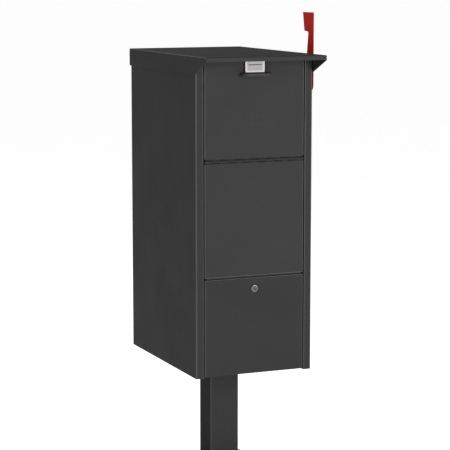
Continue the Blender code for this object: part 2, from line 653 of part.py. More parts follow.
# ---------------------------------------------------------------- signal flag
fy, fz = FLAG_AXIS.y, FLAG_AXIS.z
FX = FLAG_AXIS.x
flag = flat("flag",
            [rounded([(YF + 0.0200, ZB + 0.9120, 0.0240), (YF + 0.0200, ZB + 1.1690, 0.0015),
                      (YF + 0.1000, ZB + 1.1690, 0.0015), (YF + 0.0880, ZB + 1.1080, 0.0020),
                      (YF + 0.0580, ZB + 1.1060, 0.0050), (YF + 0.0690, ZB + 1.0290, 0.1000),
                      (YF + 0.0740, ZB + 0.9120, 0.0240)], 6),
             circle(fy, fz, 0.0033, 16)],
            FLAG_T, (FX, 0, 0), "YZ", RED)
flag_spacer = flat("flag_spacer", [circle(fy, fz, 0.0095, 24), circle(fy, fz, 0.0033, 16)],
                   FX - FLAG_T / 2 - GAP - (HW + GAP), ((HW + FX - FLAG_T / 2) / 2, 0, 0), "YZ", BLACK)
flag_washer = flat("flag_washer", [circle(fy, fz, 0.0090, 24), circle(fy, fz, 0.0033, 16)],
                   0.0012, (FX + FLAG_T / 2 + GAP + 0.0006, 0, 0), "YZ", ZINC)
hx = FX + FLAG_T / 2 + 2 * GAP + 0.0012
flag_bolt = turned("flag_bolt",
                   [(0, 0.0042), (0.0030, 0.0040), (0.0052, 0.0028), (0.0062, 0.0008), (0.0062, 0),
                    (0.0030, 0), (0.0030, -0.0290), (0, -0.0290)],
                   (hx, fy, fz), RIGHT, 20, ZINC)
flag_nut = flat("flag_nut", [circle(fy, fz, 0.0058, 6), circle(fy, fz, 0.0033, 16)], 0.0050,
                (HW - T - GAP - 0.0025, 0, 0), "YZ", ZINC)


# ---------------------------------------------------------------- joint axes
def pivot(name, at, axis, children, parent=None):
    """An empty on a joint axis, which carries the pieces that turn about it."""
    e = bpy.data.objects.new(name, None)
    e.empty_display_size = 0.03
    parts.objects.link(e)
    e.location = at
    if parent is not None:
        e.parent = parent
        e.location = Vector(at) - Vector(parent.matrix_world.translation)
    bpy.context.view_layer.update()
    for c in children:
        mw = c.matrix_world.copy()
        c.parent = e
        c.matrix_parent_inverse = e.matrix_world.inverted()
        c.matrix_world = mw
    bpy.context.view_layer.update()
    return e


bpy.context.view_layer.update()
get = bpy.data.objects
intake_axis = pivot("intake_axis", INTAKE_AXIS, "X",
                    [get[n] for n in ("intake_door", "hopper_tray", "hopper_side_left", "hopper_side_right",
                                      "intake_hinge_door_leaf", "pull_handle", "handle_screw_left",
                                      "handle_screw_right", "label_frame", "name_plate")])
lower_axis = pivot("lower_axis", LOWER_AXIS, "X",
                   [get[n] for n in ("lower_door", "lower_hinge_door_leaf", "lock_body", "lock_nut")])
lock_axis = pivot("lock_axis", LOCK_AXIS, "-Y", [get[n] for n in ("lock_plug", "lock_cam", "lock_cam_screw")],
                  lower_axis)
flag_axis = pivot("flag_axis", FLAG_AXIS, "X", [flag])
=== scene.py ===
"""Looks for the post-mounted mail and parcel drop box.

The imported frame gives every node's place.  The sheet-metal pieces, the post,
the handle, the lock and the flag are rebuilt here with finer bends, rounded
cut edges and relief, each in the box of the node that it stands for, and every
surface gets a procedural material.
"""
import json
import math

import bmesh
import bpy
from mathutils import Matrix, Vector

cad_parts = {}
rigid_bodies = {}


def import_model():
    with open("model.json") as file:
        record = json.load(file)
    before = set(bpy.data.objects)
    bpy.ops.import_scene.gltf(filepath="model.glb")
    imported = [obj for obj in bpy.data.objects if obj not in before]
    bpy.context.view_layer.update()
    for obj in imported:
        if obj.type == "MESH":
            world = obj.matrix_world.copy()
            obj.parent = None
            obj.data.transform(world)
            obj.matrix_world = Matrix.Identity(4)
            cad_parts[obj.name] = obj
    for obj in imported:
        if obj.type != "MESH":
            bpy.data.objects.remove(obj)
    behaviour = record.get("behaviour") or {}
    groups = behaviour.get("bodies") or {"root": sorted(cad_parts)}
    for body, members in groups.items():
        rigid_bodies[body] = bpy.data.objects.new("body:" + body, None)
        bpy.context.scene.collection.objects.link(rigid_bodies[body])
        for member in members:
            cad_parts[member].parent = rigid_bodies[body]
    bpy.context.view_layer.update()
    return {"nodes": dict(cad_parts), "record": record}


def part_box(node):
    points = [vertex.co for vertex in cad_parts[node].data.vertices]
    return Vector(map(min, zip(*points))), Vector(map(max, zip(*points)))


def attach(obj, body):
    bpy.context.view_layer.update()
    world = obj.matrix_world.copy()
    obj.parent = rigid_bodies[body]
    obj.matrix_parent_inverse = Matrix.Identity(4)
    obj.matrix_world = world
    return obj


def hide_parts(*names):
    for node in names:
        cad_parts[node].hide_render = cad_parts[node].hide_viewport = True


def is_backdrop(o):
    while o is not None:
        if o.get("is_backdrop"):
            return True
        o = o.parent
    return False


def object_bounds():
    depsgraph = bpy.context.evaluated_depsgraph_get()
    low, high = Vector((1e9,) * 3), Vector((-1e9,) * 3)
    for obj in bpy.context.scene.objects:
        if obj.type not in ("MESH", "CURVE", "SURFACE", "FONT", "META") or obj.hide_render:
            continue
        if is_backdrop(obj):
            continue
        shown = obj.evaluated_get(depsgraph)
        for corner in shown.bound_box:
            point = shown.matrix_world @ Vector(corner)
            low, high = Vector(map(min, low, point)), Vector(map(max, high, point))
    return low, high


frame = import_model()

NODES = frame["nodes"]
BOX = {n: (Vector(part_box(n)[0]), Vector(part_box(n)[1])) for n in NODES}
JOINT = {j["name"]: j for j in frame["record"]["behaviour"]["joints"]}
INTAKE_AXIS = Vector(JOINT["intake_door_hinge"]["pos_m"])
LOWER_AXIS = Vector(JOINT["lower_door_hinge"]["pos_m"])
LOCK_AXIS = Vector(JOINT["lock_turn"]["pos_m"])
FLAG_AXIS = Vector(JOINT["flag_pivot"]["pos_m"])

# ------------------------------------------------------------------ the fixed sizes
T = 0.0019             # sheet thickness
BEND = 0.0034          # outer bend radius
GAP = 0.0003
YF = BOX["left_side_panel"][0].y      # front plane
YR = BOX["left_side_panel"][1].y
ZB = BOX["left_side_panel"][0].z      # cabinet's lower edge
HW = BOX["right_side_panel"][1].x     # cabinet half width
FLANGE = BOX["right_side_panel"][1].x - BOX["right_side_panel"][0].x
SIDE_TOP = BOX["left_side_panel"][1].z
axis_z = INTAKE_AXIS.z

scene = bpy.context.scene
looks = bpy.data.collections.new("looks")
scene.collection.children.link(looks)
tools = bpy.data.collections.new("tools")
scene.collection.children.link(tools)


# ------------------------------------------------------------------ materials
def new_material(name):
    m = bpy.data.materials.new(name)
    m.use_nodes = True
    nt = m.node_tree
    nt.nodes.clear()
    out = nt.nodes.new("ShaderNodeOutputMaterial")
    s = nt.nodes.new("ShaderNodeBsdfPrincipled")
    nt.links.new(s.outputs["BSDF"], out.inputs["Surface"])
    return m, nt, s


def coords(nt):
    return nt.nodes.new("ShaderNodeTexCoord").outputs["Object"]


def noise(nt, co, scale, detail=2.0, rough=0.5, stretch=None, distortion=0.0):
    if stretch:
        mp = nt.nodes.new("ShaderNodeMapping")
        mp.inputs["Scale"].default_value = stretch
        nt.links.new(co, mp.inputs["Vector"])
        co = mp.outputs["Vector"]
    n = nt.nodes.new("ShaderNodeTexNoise")
    n.inputs["Scale"].default_value = scale
    n.inputs["Detail"].default_value = detail
    n.inputs["Roughness"].default_value = rough
    n.inputs["Distortion"].default_value = distortion
    nt.links.new(co, n.inputs["Vector"])
    return n.outputs["Fac"]


def ramp(nt, fac, stops):
    r = nt.nodes.new("ShaderNodeValToRGB")
    el = r.color_ramp.elements
    while len(el) < len(stops):
        el.new(0.5)
    for e, (p, c) in zip(el, stops):
        e.position = p
        e.color = (*c, 1.0) if len(c) == 3 else c
    nt.links.new(fac, r.inputs["Fac"])
    return r.outputs["Color"]


def spread(nt, fac, lo, hi, a=0.0, b=1.0):
    r = nt.nodes.new("ShaderNodeMapRange")
    r.inputs["From Min"].default_value = a
    r.inputs["From Max"].default_value = b
    r.inputs["To Min"].default_value = lo
    r.inputs["To Max"].default_value = hi
    nt.links.new(fac, r.inputs["Value"])
    return r.outputs["Result"]


def calc(nt, op, a, b=None):
    m = nt.nodes.new("ShaderNodeMath")
    m.operation = op
    for i, v in enumerate((a, b)):
        if v is None:
            continue
        if isinstance(v, (int, float)):
            m.inputs[i].default_value = v
        else:
            nt.links.new(v, m.inputs[i])
    return m.outputs["Value"]


def mix(nt, fac, a, b, blend="MIX"):
    m = nt.nodes.new("ShaderNodeMix")
    m.data_type = "RGBA"
    m.blend_type = blend
    for sock, v in ((m.inputs[0], fac), (m.inputs[6], a), (m.inputs[7], b)):
        if isinstance(v, (int, float)):
            sock.default_value = v
        elif isinstance(v, tuple):
            sock.default_value = (*v, 1.0)
        else:
            nt.links.new(v, sock)
    return m.outputs[2]


def bump(nt, s, layers):
    """Stack of (height, strength, distance) bumps into the shader's normal."""
    prev = None
    for h, strength, dist in layers:
        b = nt.nodes.new("ShaderNodeBump")
        b.inputs["Strength"].default_value = strength
        b.inputs["Distance"].default_value = dist
        nt.links.new(h, b.inputs["Height"])
        if prev is not None:
            nt.links.new(prev, b.inputs["Normal"])
        prev = b.outputs["Normal"]
    nt.links.new(prev, s.inputs["Normal"])


def powder_coat(name, base, rough=0.60, texture=1.0, dust=0.0, spec=0.07):
    """Fine-texture powder coat: orange peel, faint cloudiness, paler fine grain."""
    m, nt, s = new_material(name)
    co = coords(nt)
    cloud = noise(nt, co, 4.0, 4.0, 0.55)
    grain = noise(nt, co, 900.0, 2.0, 0.6)
    lo = tuple(c * 0.95 for c in base)
    hi = tuple(c * 1.05 for c in base)
    body = ramp(nt, cloud, [(0.30, lo), (0.70, hi)])
    fleck = ramp(nt, grain, [(0.35, (0.84, 0.84, 0.84)), (0.70, (1.16, 1.16, 1.16))])
    col = mix(nt, 1.0, body, fleck, "MULTIPLY")
    if dust:
        geo = nt.nodes.new("ShaderNodeNewGeometry")
        sep = nt.nodes.new("ShaderNodeSeparateXYZ")
        nt.links.new(geo.outputs["Normal"], sep.inputs[0])
        up = spread(nt, sep.outputs["Z"], 0.0, dust, 0.6, 1.0)
        patch = spread(nt, noise(nt, co, 14.0, 5.0, 0.6), 0.4, 1.0, 0.35, 0.7)
        col = mix(nt, calc(nt, "MULTIPLY", up, patch), col, (0.16, 0.155, 0.145))
    nt.links.new(col, s.inputs["Base Color"])
    r = calc(nt, "ADD", spread(nt, noise(nt, co, 7.0, 4.0, 0.6), rough - 0.03, rough + 0.04, 0.3, 0.7),
             spread(nt, grain, -0.03, 0.03, 0.3, 0.7))
    nt.links.new(r, s.inputs["Roughness"])
    s.inputs["Metallic"].default_value = 0.0
    s.inputs["Specular IOR Level"].default_value = spec
    peel = noise(nt, co, 420.0, 2.0, 0.5)
    fine = noise(nt, co, 1500.0, 1.0, 0.5)
    wave = noise(nt, co, 6.0, 1.0, 0.4)
    bump(nt, s, [(wave, 0.03 * texture, 0.0030), (peel, 0.28 * texture, 0.0004), (fine, 0.22 * texture, 0.00015)])
    return m


def plated(name, base, rough, metallic=1.0, brush=None, tint=None):
    """Plated or bare metal with fine scratches and slightly uneven polish."""
    m, nt, s = new_material(name)
    co = coords(nt)
    cloud = noise(nt, co, 90.0, 4.0, 0.6)
    alt = tint or tuple(c * 0.82 for c in base)
    nt.links.new(ramp(nt, cloud, [(0.35, alt), (0.65, base)]), s.inputs["Base Color"])
    scratch = noise(nt, co, 700.0, 3.0, 0.6, brush or (1.0, 1.0, 8.0))
    nt.links.new(spread(nt, scratch, rough - 0.06, rough + 0.10, 0.3, 0.7), s.inputs["Roughness"])
    s.inputs["Metallic"].default_value = metallic
    bump(nt, s, [(scratch, 0.10, 0.0001), (cloud, 0.05, 0.0004)])
    return m


def enamel(name, base):
    """Sprayed red enamel on a moulded flag: soft gloss, faint flow, fine specks."""
    m, nt, s = new_material(name)
    co = coords(nt)
    flow = noise(nt, co, 38.0, 3.0, 0.55)
    lo = tuple(c * 0.91 for c in base)
    hi = tuple(min(1.0, c * 1.07) for c in base)
    col = ramp(nt, flow, [(0.3, lo), (0.7, hi)])
    speck = ramp(nt, noise(nt, co, 650.0, 2.0, 0.5), [(0.32, (0.80, 0.78, 0.78)), (0.5, (1.0, 1.0, 1.0))])
    nt.links.new(mix(nt, 0.8, col, speck, "MULTIPLY"), s.inputs["Base Color"])
    nt.links.new(spread(nt, flow, 0.34, 0.46, 0.3, 0.7), s.inputs["Roughness"])
    s.inputs["Specular IOR Level"].default_value = 0.03
    bump(nt, s, [(noise(nt, co, 260.0, 2.0, 0.5), 0.16, 0.0004), (flow, 0.05, 0.001)])
    return m


def rubber(name):
    m, nt, s = new_material(name)
    co = coords(nt)
    n = noise(nt, co, 240.0, 3.0, 0.6)
    nt.links.new(ramp(nt, n, [(0.3, (0.010, 0.010, 0.010)), (0.7, (0.022, 0.021, 0.020))]), s.inputs["Base Color"])
    nt.links.new(spread(nt, n, 0.72, 0.92), s.inputs["Roughness"])
    bump(nt, s, [(n, 0.3, 0.0003)])
    return m


def satin_black(name, base=(0.014, 0.014, 0.015), rough=0.42):
    m, nt, s = new_material(name)
    co = coords(nt)
    cloud = noise(nt, co, 30.0, 3.0, 0.6)
    fine = noise(nt, co, 1100.0, 2.0, 0.5)
    nt.links.new(ramp(nt, cloud, [(0.3, tuple(c * 0.8 for c in base)), (0.7, tuple(c * 1.3 for c in base))]),
                 s.inputs["Base Color"])
    nt.links.new(spread(nt, fine, rough - 0.06, rough + 0.08, 0.3, 0.7), s.inputs["Roughness"])
    s.inputs["Specular IOR Level"].default_value = 0.15
    bump(nt, s, [(fine, 0.22, 0.0002), (noise(nt, co, 350.0, 1.0, 0.4), 0.12, 0.0003)])
    return m


def label_material(name, centre, w, h):
    """Printed label: pale satin face, grey ruled lines, a brighter bare border."""
    m, nt, s = new_material(name)
    co = coords(nt)
    sep = nt.nodes.new("ShaderNodeSeparateXYZ")
    nt.links.new(co, sep.inputs[0])
    x = calc(nt, "SUBTRACT", sep.outputs["X"], centre.x)
    z = calc(nt, "SUBTRACT", sep.outputs["Z"], centre.z)
    ax = calc(nt, "ABSOLUTE", x)
    az = calc(nt, "ABSOLUTE", z)

    def band(v, at, half, soft=0.00025):
        d = calc(nt, "ABSOLUTE", calc(nt, "SUBTRACT", v, at))
        return spread(nt, d, 1.0, 0.0, half - soft, half + soft)

    inx = spread(nt, ax, 1.0, 0.0, w / 2 - 0.0056, w / 2 - 0.0052)
    inz = spread(nt, az, 1.0, 0.0, h / 2 - 0.0050, h / 2 - 0.0046)
    field = calc(nt, "MULTIPLY", inx, inz)
    thin = calc(nt, "MULTIPLY", calc(nt, "MAXIMUM", band(z, -0.0024, 0.0010), band(z, -0.0086, 0.0010)), 0.6)
    lines = calc(nt, "MAXIMUM", band(z, 0.0050, 0.0021), thin)
    short = spread(nt, ax, 1.0, 0.0, w / 2 - 0.0105, w / 2 - 0.0101)
    ink = calc(nt, "MULTIPLY", lines, short)
    mott = noise(nt, co, 240.0, 3.0, 0.6)
    face = ramp(nt, mott, [(0.3, (0.25, 0.235, 0.235)), (0.7, (0.34, 0.32, 0.32))])
    rim = ramp(nt, mott, [(0.3, (0.42, 0.41, 0.40)), (0.7, (0.50, 0.49, 0.48))])
    col = mix(nt, field, rim, face)
    col = mix(nt, calc(nt, "MULTIPLY", ink, 0.95), col, (0.050, 0.047, 0.047))
    nt.links.new(col, s.inputs["Base Color"])
    nt.links.new(spread(nt, mott, 0.36, 0.50, 0.3, 0.7), s.inputs["Roughness"])
    s.inputs["Metallic"].default_value = 0.25
    bump(nt, s, [(noise(nt, co, 900.0, 2.0, 0.5), 0.10, 0.0002)])
    return m


# Painted shade: a darker copy of the coat for the left-facing faces of the side panels and hood.
COAT_LEFT_PAINTED_SHADE = powder_coat("charcoal_powder_coat", (0.0210, 0.0210, 0.0212), spec=0.05)
# Painted light: a lighter copy of the coat for the front-facing faces of the post and of the side panels' front
# flanges.
COAT_FRONT_PAINTED_LIGHT = powder_coat("charcoal_powder_coat_front", (0.0325, 0.0325, 0.0327))
COAT_DOOR = powder_coat("charcoal_powder_coat_doors", (0.036, 0.0358, 0.0360))
# Painted shade: a darker copy of the door coat for the lower door.
COAT_LOW_PAINTED_SHADE = powder_coat("charcoal_powder_coat_lower_door", (0.032, 0.0318, 0.0320))
# Painted light: a lighter copy of the coat for the hood; the paler dust toward its upward faces is real dust.
COAT_HOOD_PAINTED_LIGHT_AND_DUST = powder_coat("charcoal_powder_coat_hood", (0.041, 0.041, 0.0408), dust=0.03, spec=0.04)
COAT_IN = powder_coat("charcoal_powder_coat_inside", (0.038, 0.038, 0.0382), rough=0.55, spec=0.25)
COAT_REAR = powder_coat("charcoal_powder_coat_rear", (0.031, 0.031, 0.0312), rough=0.50, spec=0.30)
# Painted shade: a darker copy of the coat for the post's left-facing faces and for the top plate under the cabinet.
COAT_POST_PAINTED_SHADE = powder_coat("charcoal_powder_coat_post", (0.0150, 0.0150, 0.0152), rough=0.66, spec=0.03)
COAT_WELD = powder_coat("charcoal_powder_coat_weld", (0.028, 0.028, 0.0285), rough=0.44, texture=2.0, spec=0.25)
# Painted shade: a darker copy of the coat for the intake hinge, for the shade in the band under the door.
COAT_HINGE_PAINTED_SHADE = powder_coat("charcoal_powder_coat_hinge", (0.027, 0.027, 0.0272), rough=0.55, spec=0.10)
COAT_HANDLE = powder_coat("satin_black_handle", (0.030, 0.030, 0.0302), rough=0.46, texture=0.6, spec=0.16)
# Painted shade: the tone of the strip in the seam above the lower door, which sets how dark that seam reads.
SEAM_STRIP_PAINTED_SHADE = powder_coat("seam_strip_painted_shade", (0.046, 0.046, 0.0462), rough=0.7, spec=0.05)
RELIEF = powder_coat("charcoal_powder_coat_relief", (0.037, 0.037, 0.0372), rough=0.50, texture=0.5, spec=0.16)
# Painted shade: near-black coat for the faces inside the seams round the doors.
SEAM_PAINTED_SHADE = powder_coat("charcoal_powder_coat_seam_painted_shade", (0.006, 0.006, 0.0061), rough=0.8, spec=0.02)
POST_BENDS = powder_coat("charcoal_powder_coat_post_bends", (0.030, 0.030, 0.0302), rough=0.40, texture=0.5, spec=0.20)
# Painted shade: a darker copy of the hood coat for the hood's bends and slopes, dimming their highlight.
HOOD_BENDS_PAINTED_SHADE = powder_coat("charcoal_powder_coat_hood_bends", (0.036, 0.036, 0.0362), rough=0.48, texture=0.5, spec=0.06)
# Painted highlight: a lighter tone for the middle panel's downward-facing bends above the lower seam.
UNDER_BENDS_PAINTED_HIGHLIGHT = powder_coat("charcoal_powder_coat_under_bends", (0.048, 0.048, 0.0482), rough=0.40, texture=0.5, spec=0.45)
# Painted shade: a dark tone for the lower door's upward-facing bends below the seam.
TOP_BENDS_PAINTED_SHADE = powder_coat("charcoal_powder_coat_top_bends", (0.016, 0.016, 0.0162), rough=0.60, texture=0.5, spec=0.04)
BENDS = powder_coat("charcoal_powder_coat_bends", (0.036, 0.036, 0.0362), rough=0.34, texture=0.5, spec=0.45)
ZINC = plated("bright_zinc", (0.56, 0.57, 0.60), 0.34, tint=(0.44, 0.45, 0.46))
STEEL = plated("plain_steel", (0.42, 0.42, 0.43), 0.36)
NICKEL = plated("nickel_plate", (0.155, 0.153, 0.151), 0.22, brush=(1.0, 1.0, 1.0))
NICKEL_PLUG = plated("nickel_plug", (0.105, 0.103, 0.101), 0.28, brush=(1.0, 1.0, 6.0))
RED = enamel("red_enamel", (0.50, 0.013, 0.006))
RUBBER = rubber("black_rubber")
BLACK = satin_black("satin_black")
PLASTIC = satin_black("black_plastic", (0.006, 0.006, 0.0062), 0.6)


# ------------------------------------------------------------------ modelling helpers
def link(name, me, coll=None, matrix=None):
    ob = bpy.data.objects.new(name, me)
    (coll or looks).objects.link(ob)
    if matrix is not None:
        ob.matrix_world = matrix
    return ob


def boolean(ob, tool, operation="DIFFERENCE"):
    m = ob.modifiers.new(operation.title(), "BOOLEAN")
    m.operation = operation
    m.object = tool
    m.solver = "EXACT"
    tool.hide_render = True
    tool.hide_viewport = False


def bake(ob, angle=50, weighted=True):
    """Apply the modifiers in world space, smooth the result, keep real edges crisp."""
    bpy.context.view_layer.update()
    dg = bpy.context.evaluated_depsgraph_get()
    ev = ob.evaluated_get(dg)
    me = bpy.data.meshes.new_from_object(ev)
    me.transform(ob.matrix_world)
    bm = bmesh.new()
    bm.from_mesh(me)
    bmesh.ops.remove_doubles(bm, verts=bm.verts, dist=2e-6)
    bmesh.ops.dissolve_degenerate(bm, edges=bm.edges, dist=1e-6)
    bm.to_mesh(me)
    bm.free()
    old = ob.data
    ob.modifiers.clear()
    ob.data = me
    if old.users == 0 and isinstance(old, bpy.types.Mesh):
        bpy.data.meshes.remove(old)
    ob.matrix_world = Matrix.Identity(4)
    me.shade_smooth()
    me.set_sharp_from_angle(angle=math.radians(angle))
    if weighted:
        w = ob.modifiers.new("Weighted normals", "WEIGHTED_NORMAL")
        w.keep_sharp = True
        w.weight = 60
    return ob


def soften(ob, width=0.0003, segments=2, angle=50):
    m = ob.modifiers.new("Edges", "BEVEL")
    m.width = width
    m.segments = segments
    m.limit_method = "ANGLE"
    m.angle_limit = math.radians(angle)
    m.use_clamp_overlap = True
    m.harden_normals = False
    return m


def drop_tools():
    for o in list(tools.objects):
        bpy.data.objects.remove(o, do_unlink=True)


def dress(ob, mat, body, *nodes, slot=None, bends=None, face=None, left_shade=None):
    """Material, body and the CAD nodes this piece stands for."""
    me = ob.data
    me.materials.clear()
    me.materials.append(mat)
    if bends:
        me.materials.append(bends)
    if face:
        me.materials.append(face)
    if left_shade:
        me.materials.append(left_shade)
    # Front-facing faces take the face tone, a painted lighter front; left-facing faces take the left tone, painted
    # shade.
    for p in me.polygons:
        p.material_index = 0
        if bends and max(abs(c) for c in p.normal) < 0.996 and (p.normal.z < 0.3 or bends is HOOD_BENDS_PAINTED_SHADE):
            p.material_index = 1
        elif face and p.normal.y < -0.996:
            p.material_index = 2
        elif left_shade and p.normal.x < -0.996:
            p.material_index = 3
    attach(ob, body)
    if nodes:
        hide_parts(*nodes)
    return ob


def edge_tone(ob, mat, low, high):
    """Another tone for the bends whose normals lean between two heights: below, a painted highlight on the middle
    panel's under bends and painted shade on the lower door's top bends.
    """
    ob.data.materials.append(mat)
    for p in ob.data.polygons:
        if low < p.normal.z < high:
            p.material_index = len(ob.data.materials) - 1


def paint_seam_shade(ob, x_max=0.1775):
    """Painted shade: a near-black coat on the left-facing faces inside the seams round the doors."""
    me = ob.data
    me.materials.append(SEAM_PAINTED_SHADE)
    k = len(me.materials) - 1
    for p in me.polygons:
        if p.normal.x < -0.9 and p.center.y < YF + 0.019 and abs(p.center.x) < x_max:
            p.material_index = k


FACES = {"-X": (-1, 0, 0), "+X": (1, 0, 0), "-Y": (0, -1, 0), "+Y": (0, 1, 0),
         "-Z": (0, 0, -1), "+Z": (0, 0, 1)}
FRONT = Matrix.Rotation(math.radians(90), 4, "X")      # local Z -> -Y
RIGHT = Matrix.Rotation(math.radians(90), 4, "Y")      # local Z -> +X
UP = Matrix.Identity(4)
PLANES = {"XY": Matrix.Identity(4), "XZ": FRONT,
          "YZ": Matrix.Rotation(math.radians(90), 4, "Z") @ FRONT}


def sheet(name, lo, hi, open_faces, thickness=T, bend=BEND, segments=6,
          slits=(), folds=(), shift=(), edge=0.0003):
    """Folded sheet: a box surface with open sides, rounded bends, inward thickness."""
    lo, hi = Vector(lo), Vector(hi)
    mid = (lo + hi) / 2
    bm = bmesh.new()
    bmesh.ops.create_cube(bm, size=1.0)
    bmesh.ops.scale(bm, vec=hi - lo, verts=bm.verts)
    bmesh.ops.translate(bm, vec=mid, verts=bm.verts)
    gone = [f for f in bm.faces if any(f.normal.dot(Vector(FACES[k])) > 0.9 for k in open_faces)]
    bmesh.ops.delete(bm, geom=gone, context="FACES")
    want = max(bm.faces, key=lambda f: f.calc_area()).normal.copy()
    for co, no in slits:
        bmesh.ops.bisect_plane(bm, geom=bm.verts[:] + bm.edges[:] + bm.faces[:], dist=1e-6,
                               plane_co=co, plane_no=no)

    def inside(p, a, b):
        return all(min(a[i], b[i]) - 1e-5 <= p[i] <= max(a[i], b[i]) + 1e-5 for i in range(3))

    for a, b, vec in shift:
        bmesh.ops.translate(bm, vec=vec, verts=[v for v in bm.verts if inside(v.co, a, b)])
    for a, b, vec in folds:
        edges = [e for e in bm.edges if e.is_boundary
                 and inside((e.verts[0].co + e.verts[1].co) / 2, a, b)]
        out = bmesh.ops.extrude_edge_only(bm, edges=edges)
        bmesh.ops.translate(bm, vec=vec, verts=[g for g in out["geom"] if isinstance(g, bmesh.types.BMVert)])
    bmesh.ops.recalc_face_normals(bm, faces=bm.faces)
    if max(bm.faces, key=lambda f: f.calc_area()).normal.dot(want) < 0:
        bmesh.ops.reverse_faces(bm, faces=bm.faces)
    bm.normal_update()
    bends = [e for e in bm.edges if len(e.link_faces) == 2 and e.calc_face_angle() > math.radians(20)]
    bmesh.ops.bevel(bm, geom=bends, offset=bend, offset_type="OFFSET", segments=segments,
                    profile=0.5, affect="EDGES", clamp_overlap=True)
    me = bpy.data.meshes.new(name)
    bm.to_mesh(me)
    bm.free()
    ob = link(name, me)
    m = ob.modifiers.new("Solidify", "SOLIDIFY")
    m.thickness = thickness
    m.offset = -1.0
    m.use_even_offset = True
    if edge:
        soften(ob, edge, 2, 60)
    return ob


def rod(name, radius, depth, centre, axis=UP, segments=48, phase=0.0, coll=None, chamfer=0.0):
    bm = bmesh.new()
    bmesh.ops.create_cone(bm, cap_ends=True, segments=segments, radius1=radius, radius2=radius, depth=depth)
    bmesh.ops.rotate(bm, verts=bm.verts, cent=(0, 0, 0), matrix=Matrix.Rotation(phase, 3, "Z"))
    if chamfer:
        rim = [e for e in bm.edges if abs(e.verts[0].co.z - e.verts[1].co.z) < 1e-9]
        bmesh.ops.bevel(bm, geom=rim, offset=chamfer, segments=2, profile=0.5, affect="EDGES")
    me = bpy.data.meshes.new(name)
    bm.to_mesh(me)
    bm.free()
    return link(name, me, coll, Matrix.Translation(Vector(centre)) @ axis)


def drill(ob, radius, depth, centre, axis=UP, segments=40):
    boolean(ob, rod(ob.name + "_drill", radius, depth, centre, axis, segments, coll=tools))


def block(name, lo, hi, coll=None, bevel=0.0, segments=3):
    lo, hi = Vector(lo), Vector(hi)
    bm = bmesh.new()
    bmesh.ops.create_cube(bm, size=1.0)
    bmesh.ops.scale(bm, vec=hi - lo, verts=bm.verts)
    if bevel:
        bmesh.ops.bevel(bm, geom=bm.edges[:], offset=bevel, segments=segments, profile=0.5, affect="EDGES")
    me = bpy.data.meshes.new(name)
    bm.to_mesh(me)
    bm.free()
    return link(name, me, coll, Matrix.Translation((lo + hi) / 2))


def flat(name, loops, thickness, centre, plane, bevel=0.0, segments=3, coll=None):
    """A flat outline with holes, extruded to its thickness, with rounded edges."""
    cu = bpy.data.curves.new(name + "_outline", "CURVE")
    cu.dimensions = "2D"
    cu.fill_mode = "BOTH"
    cu.extrude = thickness / 2
    for k, pts in enumerate(loops):
        area = sum(a[0] * b[1] - b[0] * a[1] for a, b in zip(pts, pts[1:] + pts[:1]))
        if (area > 0) == (k > 0):
            pts = pts[::-1]
        sp = cu.splines.new("POLY")
        sp.points.add(len(pts) - 1)
        for p, (u, v) in zip(sp.points, pts):
            p.co = (u, v, 0, 1)
        sp.use_cyclic_u = True
    tmp = bpy.data.objects.new(name + "_outline", cu)
    scene.collection.objects.link(tmp)
    tmp.matrix_world = Matrix.Translation(Vector(centre)) @ PLANES[plane]
    bpy.context.view_layer.update()
    dg = bpy.context.evaluated_depsgraph_get()
    me = bpy.data.meshes.new_from_object(tmp.evaluated_get(dg))
    mw = tmp.matrix_world.copy()
    bm = bmesh.new()
    bm.from_mesh(me)
    bmesh.ops.remove_doubles(bm, verts=bm.verts, dist=1e-6)
    bmesh.ops.recalc_face_normals(bm, faces=bm.faces)
    if len(loops) == 1:
        for side in (1, -1):
            cap = [f for f in bm.faces if f.normal.z * side > 0.9]
            bmesh.ops.dissolve_faces(bm, faces=cap, use_verts=False)
    bmesh.ops.recalc_face_normals(bm, faces=bm.faces)
    bm.to_mesh(me)
    bm.free()
    me.name = name
    bpy.data.objects.remove(tmp, do_unlink=True)
    bpy.data.curves.remove(cu)
    ob = link(name, me, coll, mw)
    if bevel:
        soften(ob, bevel, segments, 60)
    return ob


def turned(name, profile, centre, axis, segments=64, closed=False, coll=None):
    bm = bmesh.new()
    vs = [bm.verts.new((r, 0, h)) for r, h in profile]
    for a, b in zip(vs, vs[1:]):
        bm.edges.new((a, b))
    if closed:
        bm.edges.new((vs[-1], vs[0]))
    me = bpy.data.meshes.new(name)
    bm.to_mesh(me)
    bm.free()
    ob = link(name, me, coll, Matrix.Translation(Vector(centre)) @ axis)
    m = ob.modifiers.new("Screw", "SCREW")
    m.angle = math.tau
    m.steps = segments
    m.render_steps = segments
    m.use_merge_vertices = True
    m.merge_threshold = 0.00001
    return ob


def circle(u, v, r, n=40, phase=0.0):
    return [(u + r * math.cos(phase + math.tau * i / n), v + r * math.sin(phase + math.tau * i / n))
            for i in range(n)]


def rounded(corners, n=6):
    out = []
    k = len(corners)
    for i in range(k):
        p = Vector(corners[i][:2])
        r = corners[i][2]
        a = (Vector(corners[i - 1][:2]) - p).normalized()
        b = (Vector(corners[(i + 1) % k][:2]) - p).normalized()
        if r <= 0:
            out.append((p.x, p.y))
            continue
        half = a.angle(b) / 2
        cut = r / math.tan(half)
        c = p + (a + b).normalized() * (r / math.sin(half))
        s, e = p + a * cut - c, p + b * cut - c
        ang = math.atan2(s.x * e.y - s.y * e.x, s.dot(e))
        for j in range(n + 1):
            q = c + Matrix.Rotation(ang * j / n, 2) @ s
            out.append((q.x, q.y))
    return out


def rect(u0, v0, u1, v1, r=0.0, n=6):
    return rounded([(u0, v0, r), (u1, v0, r), (u1, v1, r), (u0, v1, r)], n)


